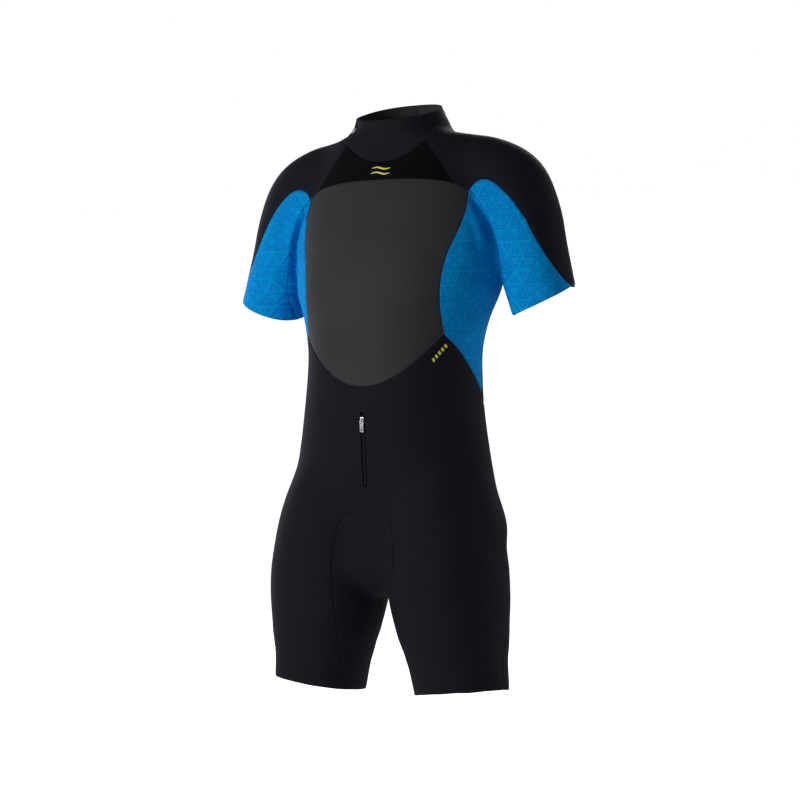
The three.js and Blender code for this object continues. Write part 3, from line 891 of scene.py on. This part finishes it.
# %% Read the seams as lines
def seam_lines(bm, panel):
    """Chains of points between each pair of panels: {(i, j): [[(place, normal), ...]]}."""
    links = {}
    for edge in bm.edges:
        if len(edge.link_faces) != 2:
            continue
        i, j = sorted(f[panel] for f in edge.link_faces)
        if i != j and i >= 0:
            links.setdefault((i, j), []).append(edge)
    chains = {}
    for pair, edges in links.items():
        left = set(edges)
        while left:
            ends = {}
            for e in left:
                for v in e.verts:
                    ends.setdefault(v, []).append(e)
            start = next((v for v, es in ends.items() if len(es) != 2), next(iter(ends)))
            chain, v = [start], start
            while True:
                edge = next((e for e in ends[v] if e in left), None)
                if edge is None:
                    break
                left.discard(edge)
                v = edge.other_vert(v)
                chain.append(v)
            chains.setdefault(pair, []).append([(p.co.copy(), p.normal.copy()) for p in chain])
    return chains


def length_of(chain):
    return sum((b[0] - a[0]).length for a, b in zip(chain, chain[1:]))


seams = seam_lines(skin, panel_layer)
for (i, j), chains in sorted(seams.items()):
    print("seam", PANELS[i], PANELS[j], [round(length_of(c), 3) for c in chains])

# %% Make each panel a shell of its own
FABRIC = 0.003
SEAM_DIP = 0.0007
EDGE_BAND = 0.0013

PANEL_CLOTH = {name: BODY_CLOTH for name in PANELS}
PANEL_CLOTH["upper_chest_yoke"] = YOKE_CLOTH
PANEL_CLOTH["chest_panel"] = CHEST_CLOTH
for side_name, _ in SIDES:
    PANEL_CLOTH["underarm_panel_" + side_name] = BLUE_CLOTH
    PANEL_CLOTH["side_panel_" + side_name] = BLUE_CLOTH

PANEL_SLOT = {name: "neoprene_black" for name in PANELS}
PANEL_SLOT.update({"upper_chest_yoke": "neoprene_yoke", "chest_panel": "neoprene_chest"})
for side_name, _ in SIDES:
    PANEL_SLOT["underarm_panel_" + side_name] = "neoprene_blue"
    PANEL_SLOT["side_panel_" + side_name] = "neoprene_blue"


def dress(obj, materials, nodes=(), body=SUIT):
    """Smooth shading, the finish, the body it moves with and the nodes it stands for."""
    for face in obj.data.polygons:
        face.use_smooth = True
    for material in materials:
        obj.data.materials.append(material)
    if body:
        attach(obj, body)
    if nodes:
        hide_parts(*nodes)
    return obj


def panel_skin(bm, panel, number):
    """The faces of one panel, with their edge drawn in to a soft, rounded groove."""
    part = bm.copy()
    layer = part.faces.layers.int["panel"]
    bmesh.ops.delete(part, geom=[f for f in part.faces if f[layer] != number], context="FACES")
    loose = [v for v in part.verts if not v.link_faces]
    bmesh.ops.delete(part, geom=loose, context="VERTS")
    part.normal_update()
    bmesh.ops.inset_region(part, faces=part.faces, thickness=EDGE_BAND, use_boundary=True,
                           use_even_offset=False)
    part.normal_update()
    rim = {v: v.normal.copy() for v in part.verts if v.is_boundary}
    for v, normal in rim.items():
        v.co -= normal * SEAM_DIP
    bmesh.ops.dissolve_degenerate(part, dist=0.00002, edges=part.edges)
    return part


def make_panel(number):
    name = PANELS[number]
    part = panel_skin(skin, panel_layer, number)
    area = sum(f.calc_area() for f in part.faces)
    obj = link(name + "_fabric", part)
    dress(obj, [PANEL_CLOTH[name], LINING], [name])
    shell = obj.modifiers.new("fabric", "SOLIDIFY")
    shell.thickness = FABRIC
    shell.offset = -1
    shell.material_offset = 1
    shell.material_offset_rim = 0
    return bake_modifiers(obj), area


panels = {}
for number, name in enumerate(PANELS):
    panels[name] = make_panel(number)
print("panels:", {name: round(area, 4) for name, (_, area) in panels.items()})
print("panel triangles:", sum(len(o.data.polygons) for o, _ in panels.values()))

# %% Work out each panel's flat width, length and area
def declare(name):
    obj, area = panels[name]
    low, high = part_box(name)
    size = high - low
    length = max(size.z, size.x, size.y)
    width = area / length / 0.82
    return name, round(width, 3), round(length, 3), round(area, 4)


for name in PANELS:
    print("flat", declare(name))

# %% [markdown]
# ## Zips
#
# The back zip has moulded teeth and the short relief zip has finer ones. A zip is two
# woven tapes, a row of teeth on each, stops at the ends, and a metal slider with a pull.
# A long row of teeth could be an array modifier, but a tooth is so small that copying one
# bevelled block in a loop is as easy, and each row stays one closed mesh. The metal parts
# already have their shape in the frame: a merged copy gets rounded edges, as cast metal.

# %% Where each zip lies: x across, y outward, z up
ZIP_PLACE = {
    "back_zip": Matrix.Translation((0, 0.108, 0)),
    "relief_zip": Matrix.Translation((0, -0.1179, -0.441))
    @ Matrix.Rotation(-math.atan(-0.09), 4, "X") @ Matrix.Rotation(math.pi, 4, "Z"),
}
# Tooth: inner edge and outer edge from the middle line, pitch, height and depth.
TOOTH = {
    "back_zip": (0.00035, 0.0046, 0.0026, 0.0015, 0.0024),
    "relief_zip": (0.0003, 0.0019, 0.0017, 0.001, 0.0018),
}


def box_at(bm, low, high, bevel, segments=1):
    """Adds a block between two corners, with its edges rounded."""
    made = bmesh.ops.create_cube(bm, size=1)["verts"]
    size = Vector(high) - Vector(low)
    bmesh.ops.scale(bm, verts=made, vec=size)
    bmesh.ops.translate(bm, verts=made, vec=(Vector(low) + Vector(high)) / 2)
    edges = list({e for v in made for e in v.link_edges})
    out = bmesh.ops.bevel(bm, geom=edges, offset=bevel, offset_type="OFFSET", affect="EDGES",
                          segments=segments, profile=0.5, material=-1)
    return out["verts"]


def along_zip(zip_name):
    """The lowest and highest place of the teeth on the zip's own line."""
    low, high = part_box(zip_name + "_teeth_left")
    back = ZIP_PLACE[zip_name].inverted()
    ends = sorted((back @ Vector((0, y, z))).z for y in (low.y, high.y) for z in (low.z, high.z))
    return ends[0] + 0.0006, ends[-1] - 0.0006


# %% Rows of teeth
def tooth_row(zip_name, side_name, side):
    inner, outer, pitch, tall, deep = TOOTH[zip_name]
    bottom, top = along_zip(zip_name)
    bm = bmesh.new()
    count = int((top - bottom) / pitch)
    start = bottom + tall / 2 + (0 if side > 0 else pitch / 2)
    for number in range(count):
        z = start + number * pitch
        if z + tall / 2 > top:
            break
        x_low, x_high = sorted((side * inner, side * outer))
        made = box_at(bm, (x_low, -0.0029, z - tall / 2), (x_high, -0.0029 + deep, z + tall / 2),
                      tall * 0.22)
        tip = [v for v in made if abs(v.co.x) < inner + 0.0008]
        bmesh.ops.scale(bm, verts=tip, vec=(1, 1, 0.8), space=Matrix.Translation((0, 0, -z)))
    bm.transform(ZIP_PLACE[zip_name])
    name = f"{zip_name}_teeth_{side_name}"
    dress(link(name + "_row", bm), [TOOTH_PLASTIC], [name])
    return number


# %% Finishes of the zips
def make_tape_cloth():
    """Woven tape: fine slanted threads along the strip."""
    material, tree, shader = new_material("woven_tape", Sheen_Weight=0.1, Sheen_Roughness=0.5,
                                          Specular_IOR_Level=0.25)
    twill = tree.nodes.new("ShaderNodeTexWave")
    twill.bands_direction = "DIAGONAL"
    twill.inputs["Scale"].default_value = 520
    twill.inputs["Distortion"].default_value = 0.6
    tree.links.new(coordinates(tree), twill.inputs["Vector"])
    mottle = use_group(tree, MOTTLE, Size=60)
    tree.links.new(two_tones(tree, twill.outputs["Fac"], (0.0035, 0.0036, 0.005),
                             (0.0095, 0.0098, 0.013), 0.2, 0.8), shader.inputs["Base Color"])
    rough_range(tree, shader, mottle.outputs["Tone"], 0.7, 0.9)
    bump(tree, shader, twill.outputs["Fac"], 0.5, 0.0002)
    return material


def make_plastic(name, dark, light, rough):
    material, tree, shader = new_material(name, Specular_IOR_Level=0.45)
    mottle = use_group(tree, MOTTLE, Size=220)
    tree.links.new(two_tones(tree, mottle.outputs["Tone"], dark, light),
                   shader.inputs["Base Color"])
    rough_range(tree, shader, mottle.outputs["Tone"], *rough)
    bump(tree, shader, mottle.outputs["Tone"], 0.12, 0.0002)
    return material


def make_metal(name, dark, light):
    """Plated zinc: bright, with fine scuffs and a slow, uneven tone."""
    material, tree, shader = new_material(name, Metallic=0.95)
    scuff = tree.nodes.new("ShaderNodeTexNoise")
    scuff.inputs["Scale"].default_value = 900
    scuff.inputs["Detail"].default_value = 5
    stretch = tree.nodes.new("ShaderNodeMapping")
    stretch.inputs["Scale"].default_value = (1, 1, 0.15)
    tree.links.new(coordinates(tree), stretch.inputs["Vector"])
    tree.links.new(stretch.outputs["Vector"], scuff.inputs["Vector"])
    mottle = use_group(tree, MOTTLE, Size=160)
    tree.links.new(two_tones(tree, mottle.outputs["Tone"], dark, light),
                   shader.inputs["Base Color"])
    rough_range(tree, shader, scuff.outputs["Fac"], 0.2, 0.42)
    bump(tree, shader, scuff.outputs["Fac"], 0.15, 0.00005)
    return material


TAPE_CLOTH = make_tape_cloth()
TOOTH_PLASTIC = make_plastic("tooth_plastic", (0.003, 0.003, 0.004), (0.007, 0.007, 0.009),
                             (0.4, 0.55))
METAL = make_metal("plated_metal", (0.36, 0.365, 0.37), (0.6, 0.61, 0.62))
DARK_METAL = make_metal("black_lacquered_metal", (0.012, 0.012, 0.014), (0.03, 0.03, 0.034))
for zip_name in TOOTH:
    print(zip_name, "teeth:", [tooth_row(zip_name, *side) for side in SIDES])

# %% Sliders, pulls and stops: rounded copies
def rounded_copy(node, offset, body, material):
    """A merged copy of a frame solid with its sharp edges rounded."""
    bm = bmesh.new()
    bm.from_mesh(NODES[node].data)
    bmesh.ops.remove_doubles(bm, verts=bm.verts, dist=0.00001)
    bmesh.ops.dissolve_limit(bm, angle_limit=math.radians(4), verts=bm.verts, edges=bm.edges)
    sharp = [e for e in bm.edges if len(e.link_faces) == 2
             and e.calc_face_angle() > math.radians(30)]
    bmesh.ops.bevel(bm, geom=sharp, offset=offset, offset_type="OFFSET", affect="EDGES",
                    segments=3, profile=0.5, material=-1, clamp_overlap=True)
    bmesh.ops.triangulate(bm, faces=[f for f in bm.faces if len(f.verts) > 4])
    obj = dress(link(node + "_rounded", bm), [material], [node], body)
    return len(obj.data.polygons)


def dress_metal(zip_name, rounding, stops):
    faces = {}
    for part in ("top_stop_left", "top_stop_right", "bottom_stop"):
        faces[part] = rounded_copy(f"{zip_name}_{part}", rounding, SUIT, stops)
    for part in ("slider", "pull"):
        node = f"{zip_name}_{part}"
        faces[part] = rounded_copy(node, rounding, node, METAL)
    return faces


print("back zip metal:", dress_metal("back_zip", 0.00035, METAL))
print("relief zip metal:", dress_metal("relief_zip", 0.00022, DARK_METAL))

# %% Tapes and flaps
def node_tree_of(*nodes):
    bm = bmesh.new()
    for node in nodes:
        bm.from_mesh(NODES[node].data)
    tree = BVHTree.FromBMesh(bm)
    bm.free()
    return tree


def draped(name, tree, x_range, z_range, steps, start_y, lift=lambda x: 0, flip=False):
    """A grid in x and z, laid on the first surface met from start_y."""
    bm = bmesh.new()
    bmesh.ops.create_grid(bm, x_segments=steps[0], y_segments=steps[1], size=1)
    (x0, x1), (z0, z1) = x_range, z_range
    toward = Vector((0, -1 if flip else 1, 0))
    for v in bm.verts:
        x = x0 + (x1 - x0) * (v.co.x + 1) / 2
        z = z0 + (z1 - z0) * (v.co.y + 1) / 2
        hit = tree.ray_cast(Vector((x, start_y, z)), toward)[0]
        if hit is None:
            hit = tree.find_nearest(Vector((x, start_y, z)))[0]
        v.co = Vector((x, hit.y, z)) + toward * lift(x)
    bmesh.ops.recalc_face_normals(bm, faces=bm.faces)
    return bm


def thicken(obj, thickness, offset=-1):
    shell = obj.modifiers.new("fabric", "SOLIDIFY")
    shell.thickness = thickness
    shell.offset = offset
    rim = obj.modifiers.new("rounded rim", "BEVEL")
    rim.width = thickness * 0.3
    rim.segments = 2
    rim.limit_method = "ANGLE"
    rim.angle_limit = math.radians(50)
    return bake_modifiers(obj)


def turned_out(bm, direction):
    """Turns the faces of an open sheet to the given side."""
    bm.normal_update()
    total = sum((f.normal * f.calc_area() for f in bm.faces), Vector())
    if total.dot(direction) < 0:
        bmesh.ops.reverse_faces(bm, faces=bm.faces)
    return bm


def zip_sheet(node, lift, thickness, material, steps):
    """A tape or flap: laid on the inner face of its frame solid, and thickened outward."""
    low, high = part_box(node)
    outward = 1 if node.startswith("back") else -1
    inset = 0.0003
    bm = draped(node, node_tree_of(node), (low.x + inset, high.x - inset),
                (low.z + inset, high.z - inset), steps, 0, lift, outward < 0)
    turned_out(bm, Vector((0, outward, 0)))
    area = sum(f.calc_area() for f in bm.faces)
    obj = thicken(link(node + "_cloth", bm), thickness, 1)
    dress(obj, [material], [node])
    return obj


def flap_lift(inner, outer):
    """How far a flap's edge comes out towards the suit, by distance from the middle."""
    def lift(x):
        t = min(max((abs(x) - inner) / (outer - inner), 0), 1)
        return 0.0028 * t * t * (3 - 2 * t)
    return lift


FLAP_CLOTH = cloth("flap_jersey", (0.004, 0.0042, 0.007), (0.0075, 0.0078, 0.012), sheen=0.05)
for zip_name, bend in (("back_zip", (0.0125, 0.0165)), ("relief_zip", (0.0065, 0.0095))):
    for side_name, _ in SIDES:
        zip_sheet(f"{zip_name}_tape_{side_name}", lambda x: 0, 0.0007, TAPE_CLOTH,
                  (5, 120))
    flap = zip_sheet(zip_name + "_flap", flap_lift(*bend), 0.0015, FLAP_CLOTH,
                     (24, 110))
    print(zip_name, "flap:", [round(v, 4) for v in flap.dimensions])

# %% [markdown]
# ## Neck tab
#
# A tab of doubled neoprene closes the collar over the top of the back zip. One end is sewn
# to the collar on the wearer's left, and the other carries a pad of tiny hooks that grips a
# napped patch. Cloth simulation would let it sag, but the real tab is stiff and lies flat
# on the collar, so a grid is laid on the frame's own surface, its outline is rounded, and
# it gets a thickness.

# %% The tab
TAB_X = (-0.046, 0.0503)
TAB_Z = (-0.002, 0.025)
TAB_FABRIC = 0.0024
TAB_BEND = (0.037, 0.031)


def tab_outline(u, v):
    """Draws the corners of the unit square in, more at the free end."""
    corner = 0.3 if u < 0 else 0.12
    run = max(0, (abs(u) - (1 - corner)) / corner)
    return u, v * (1 - (1 - math.sqrt(max(0, 1 - run * run))) * (0.45 if u < 0 else 0.2))


def make_tab():
    tree = node_tree_of("collar_tab", "collar_tab_anchor")
    bm = bmesh.new()
    bmesh.ops.create_grid(bm, x_segments=64, y_segments=18, size=1)
    for v in bm.verts:
        u, w = tab_outline(v.co.x, v.co.y)
        x = TAB_X[0] + (TAB_X[1] - TAB_X[0]) * (u + 1) / 2
        z = TAB_Z[0] + (TAB_Z[1] - TAB_Z[0]) * (w + 1) / 2
        start = Vector((x, 0.2, z))
        hit = tree.ray_cast(start, Vector((0, -1, 0)))[0] or tree.find_nearest(start)[0]
        v.co = Vector((x, hit.y, z))
    for _ in range(6):
        smoothed(bm, [v for v in bm.verts if not v.is_boundary], 0.5)
    turned_out(bm, Vector((0, 1, 0.5)))
    area = sum(f.calc_area() for f in bm.faces)
    obj = link("neck_tab", bm)
    shell = obj.modifiers.new("fabric", "SOLIDIFY")
    shell.thickness = TAB_FABRIC
    shell.offset = -1
    edge = obj.modifiers.new("rounded rim", "BEVEL")
    edge.width = 0.0008
    edge.segments = 3
    edge.limit_method = "ANGLE"
    edge.angle_limit = math.radians(50)
    bake_modifiers(obj)
    dress(obj, [BODY_CLOTH], ["collar_tab", "collar_tab_anchor"], None)
    start, end = (Vector((x, 0.09, 0.01)) for x in TAB_BEND)
    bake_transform(obj)
    return obj, area


neck_tab, tab_area = make_tab()
print("neck tab:", round(tab_area, 5), "square metres")

# %% The napped patch and the hook pad
def pad_sheet(node, thickness, material, body):
    low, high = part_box(node)
    inset = 0.0004
    bm = draped(node, node_tree_of(node), (low.x + inset, high.x - inset),
                (low.z + inset, high.z - inset), (40, 18), 0, lambda x: 0)
    turned_out(bm, Vector((0, 1, 0.5)))
    area = sum(f.calc_area() for f in bm.faces)
    obj = thicken(link(node + "_cloth", bm), thickness, 1)
    dress(obj, [material], [node], body)
    return obj


LOOP_CLOTH = cloth("napped_loops", (0.006, 0.006, 0.0075), (0.016, 0.016, 0.02), rows=2400,
                   rough=(0.85, 0.98), sheen=0.3, tint=(0.7, 0.7, 0.8), grain=0.9, gloss=0.1)
HOOK_PLASTIC = make_plastic("hook_plastic", (0.004, 0.004, 0.005), (0.008, 0.008, 0.01),
                            (0.4, 0.55))
loop_patch = pad_sheet("collar_loop_patch", 0.0006, LOOP_CLOTH, SUIT)
hook_pad = pad_sheet("collar_hook_pad", 0.0004, HOOK_PLASTIC, "collar_tab")
print("patch and pad:", [round(v, 4) for v in (*loop_patch.dimensions, *hook_pad.dimensions)])

# %% [markdown]
# ## Printed marks
#
# The suit carries small printed marks in pale yellow: two short waves on the upper chest
# and a slanted row of bars at the waist. They are plain shapes that stand for no name.
# A print could be a pattern in the cloth's material, but as thin raised ink it keeps a
# crisp edge at any distance. Each shape is a grid laid on the finished cloth.

# %% Lay a flat shape on the cloth
INK = 0.00025


def make_ink():
    material, tree, shader = new_material("yellow_ink", Specular_IOR_Level=0.35)
    knit = use_group(tree, KNIT, Rows_per_metre=900, Unevenness=0.6)
    tree.links.new(two_tones(tree, knit.outputs["Tone"], (0.62, 0.58, 0.06), (0.82, 0.78, 0.11)),
                   shader.inputs["Base Color"])
    rough_range(tree, shader, knit.outputs["Tone"], 0.4, 0.6)
    bump(tree, shader, knit.outputs["Height"], 0.25, 0.0001)
    return material


def skin_tree(*names):
    bm = bmesh.new()
    for name in names:
        bm.from_mesh(panels[name][0].data)
    tree = BVHTree.FromBMesh(bm)
    bm.free()
    return tree


def print_shape(tree, places, steps):
    """A grid whose points are sent through places(u, v) to x and z, laid on the front."""
    bm = bmesh.new()
    bmesh.ops.create_grid(bm, x_segments=steps[0], y_segments=steps[1], size=1)
    for v in bm.verts:
        x, z = places(v.co.x, v.co.y)
        hit = tree.ray_cast(Vector((x, -0.4, z)), Vector((0, 1, 0)))
        v.co = hit[0] + hit[1] * 0.00004
    turned_out(bm, Vector((0, -1, 0)))
    return bm


def finish_print(name, bms, nodes):
    joined = bmesh.new()
    for bm in bms:
        part = bpy.data.meshes.new("part")
        bm.to_mesh(part)
        bm.free()
        joined.from_mesh(part)
        bpy.data.meshes.remove(part)
    obj = thicken(link(name, joined), INK, 1)
    dress(obj, [YELLOW_INK], nodes)
    return len(obj.data.polygons)


YELLOW_INK = make_ink()
front_tree = skin_tree("upper_chest_yoke", "chest_panel", "front_body_panel",
                       "side_panel_left")


def wave_places(node):
    low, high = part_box(node)
    middle, half = (low.z + high.z) / 2, (high.x - low.x) / 2

    def places(u, v):
        z = middle + 0.0016 * math.sin((u + 1) * math.pi) + v * 0.0013 * (1 - 0.75 * u * u)
        return u * half * 0.96, z
    return places


for node in ("chest_mark_upper", "chest_mark_lower"):
    shape = print_shape(front_tree, wave_places(node), (48, 4))
    print(node, finish_print(node + "_ink", [shape], [node]), "faces")

# %% The row of bars at the waist
BAR_TURN = 1.0
BAR_COUNT = 5


def bar_places(number):
    low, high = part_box("waist_mark")
    middle = (low + high) / 2
    start = (number - (BAR_COUNT - 1) / 2) * 0.0062

    def places(u, v):
        x = start + u * 0.0017 + v * 0.0011
        z = v * 0.0021
        return (middle.x + x * math.cos(BAR_TURN) - z * math.sin(BAR_TURN),
                middle.z + x * math.sin(BAR_TURN) + z * math.cos(BAR_TURN))
    return places


bars = [print_shape(front_tree, bar_places(number), (6, 6)) for number in range(BAR_COUNT)]
print("waist mark:", finish_print("waist_mark_ink", bars, ["waist_mark"]), "faces")

# %% [markdown]
# ## Stitching and raised seams
#
# The panels are glued edge to edge, and a row of small stitches holds each seam. Two
# slightly raised lines run beside the front seams of the shoulders. A stitch is a bead of
# thread: a small stretched sphere of twenty faces, because there are thousands. Drawing
# them only as bump would leave the seams smooth when seen from the side.

# %% Walk along a seam at even steps
def walk(chain, pitch, start=0.0):
    """Places, directions and normals at even steps along a chain of points."""
    out, due = [], start
    done = 0.0
    for (a, normal_a), (b, normal_b) in zip(chain, chain[1:]):
        run = (b - a).length
        while run > 0 and due <= done + run:
            t = (due - done) / run
            out.append((a.lerp(b, t), (b - a).normalized(),
                        normal_a.lerp(normal_b, t).normalized()))
            due += pitch
        done += run
    return out


def evened(chain, rounds=3):
    """The chain with its small corners smoothed away."""
    places = [p for p, _ in chain]
    for _ in range(rounds):
        places = [p if i in (0, len(places) - 1)
                  else (places[i - 1] + places[i + 1]) * 0.25 + p * 0.5
                  for i, p in enumerate(places)]
    return [(p, n) for p, (_, n) in zip(places, chain)]


def add_stitch(bm, place, along, normal, turn, size):
    """A bead of thread lying across or along the seam."""
    made = bmesh.ops.create_icosphere(bm, subdivisions=1, radius=1)["verts"]
    across = normal.cross(along).normalized()
    heading = (along * math.cos(turn) + across * math.sin(turn)).normalized()
    side = normal.cross(heading).normalized()
    frame_of = Matrix((heading, side, normal)).transposed().to_4x4()
    shape = Matrix.Diagonal((*size, 1))
    bmesh.ops.transform(bm, matrix=Matrix.Translation(place) @ frame_of @ shape, verts=made)


# %% Rows of stitches on the seams
# For each kind of row: pitch, and a stitch's half length, half width and half height.
FINE = (0.0032, (0.00125, 0.00028, 0.00022))
BOLD = (0.0044, (0.0018, 0.00042, 0.0003))
BLUE_PANELS = {i for i, name in enumerate(PANELS) if name.startswith(("side_panel", "underarm"))}


def toward_blue(pair, place, across):
    """1 or -1: on which side of the seam the blue panel lies."""
    blue = next(i for i in pair if i in BLUE_PANELS)
    near, far = (PANEL_TREES[blue].find_nearest(place + across * step)[3]
                 for step in (0.004, -0.004))
    return 1 if near < far else -1


def make_stitches(name, pairs, turn, kind, material, beside=0.0):
    """Rows of stitches on seams, or on the blue cloth at a distance beside them."""
    pitch, size = kind
    bm = bmesh.new()
    count = 0
    for pair in pairs:
        for chain in seams[pair]:
            if length_of(chain) < 0.02:
                continue
            for place, along, normal in walk(evened(chain), pitch, pitch / 2):
                sunk = place - normal * (SEAM_DIP * 0.5)
                if beside:
                    across = normal.cross(along).normalized()
                    sunk = place + across * (beside * toward_blue(pair, place, across))
                add_stitch(bm, sunk, along, normal, turn, size)
                count += 1
    dress(link(name, bm), [material])
    return count


THREAD = make_plastic("dark_thread", (0.006, 0.0065, 0.009), (0.012, 0.0125, 0.017), (0.6, 0.8))
blue_pairs = [p for p in sorted(seams) if len(BLUE_PANELS & set(p)) == 1]
plain_pairs = [p for p in sorted(seams) if p not in blue_pairs]
print("stitches on blue:", make_stitches("blue_seam_stitches", blue_pairs, 1.15, BOLD, THREAD,
                                          beside=0.0014))
print("other stitches:", make_stitches("body_seam_stitches", plain_pairs, 1.15, FINE, THREAD))

# %% Raised lines beside the front seams of the neck and shoulders
PIPING_ROUND = 8
PIPING_RADIUS = 0.0007
PIPING_OFFSET = 0.0016
PIPING_PAIRS = [("collar_front", "collar_back_left"), ("collar_front", "collar_back_right"),
                ("upper_chest_yoke", "shoulder_panel_left"),
                ("upper_chest_yoke", "shoulder_panel_right")]


def add_piping(bm, chain, offset):
    """A round bead of rubber swept along a seam, a little to one side of it."""
    steps = walk(evened(chain, 8), 0.0025)
    last_ring = None
    for number, (place, along, normal) in enumerate(steps):
        across = normal.cross(along).normalized()
        ends = min(number, len(steps) - 1 - number)
        radius = PIPING_RADIUS * (0.4, 0.8, 1)[min(ends, 2)]
        centre = place + across * offset - normal * (PIPING_RADIUS * 0.35)
        ring = bmesh.ops.create_circle(bm, cap_ends=False, radius=radius, segments=PIPING_ROUND,
                                       matrix=Matrix.Translation(centre) @ Matrix(
                                           (across, normal, along)).transposed().to_4x4())
        ring_edges = list({e for v in ring["verts"] for e in v.link_edges})
        if last_ring:
            bmesh.ops.bridge_loops(bm, edges=last_ring + ring_edges)
        last_ring = ring_edges


def make_piping():
    bm = bmesh.new()
    for names in PIPING_PAIRS:
        pair = tuple(sorted(PANELS.index(name) for name in names))
        for chain in seams.get(pair, []):
            if length_of(chain) > 0.02:
                for offset in (-PIPING_OFFSET, PIPING_OFFSET):
                    add_piping(bm, chain, offset)
    bmesh.ops.holes_fill(bm, edges=[e for e in bm.edges if e.is_boundary])
    bmesh.ops.recalc_face_normals(bm, faces=bm.faces)
    return len(dress(link("seam_piping", bm), [BODY_CLOTH]).data.polygons)


print("raised lines:", make_piping(), "faces")
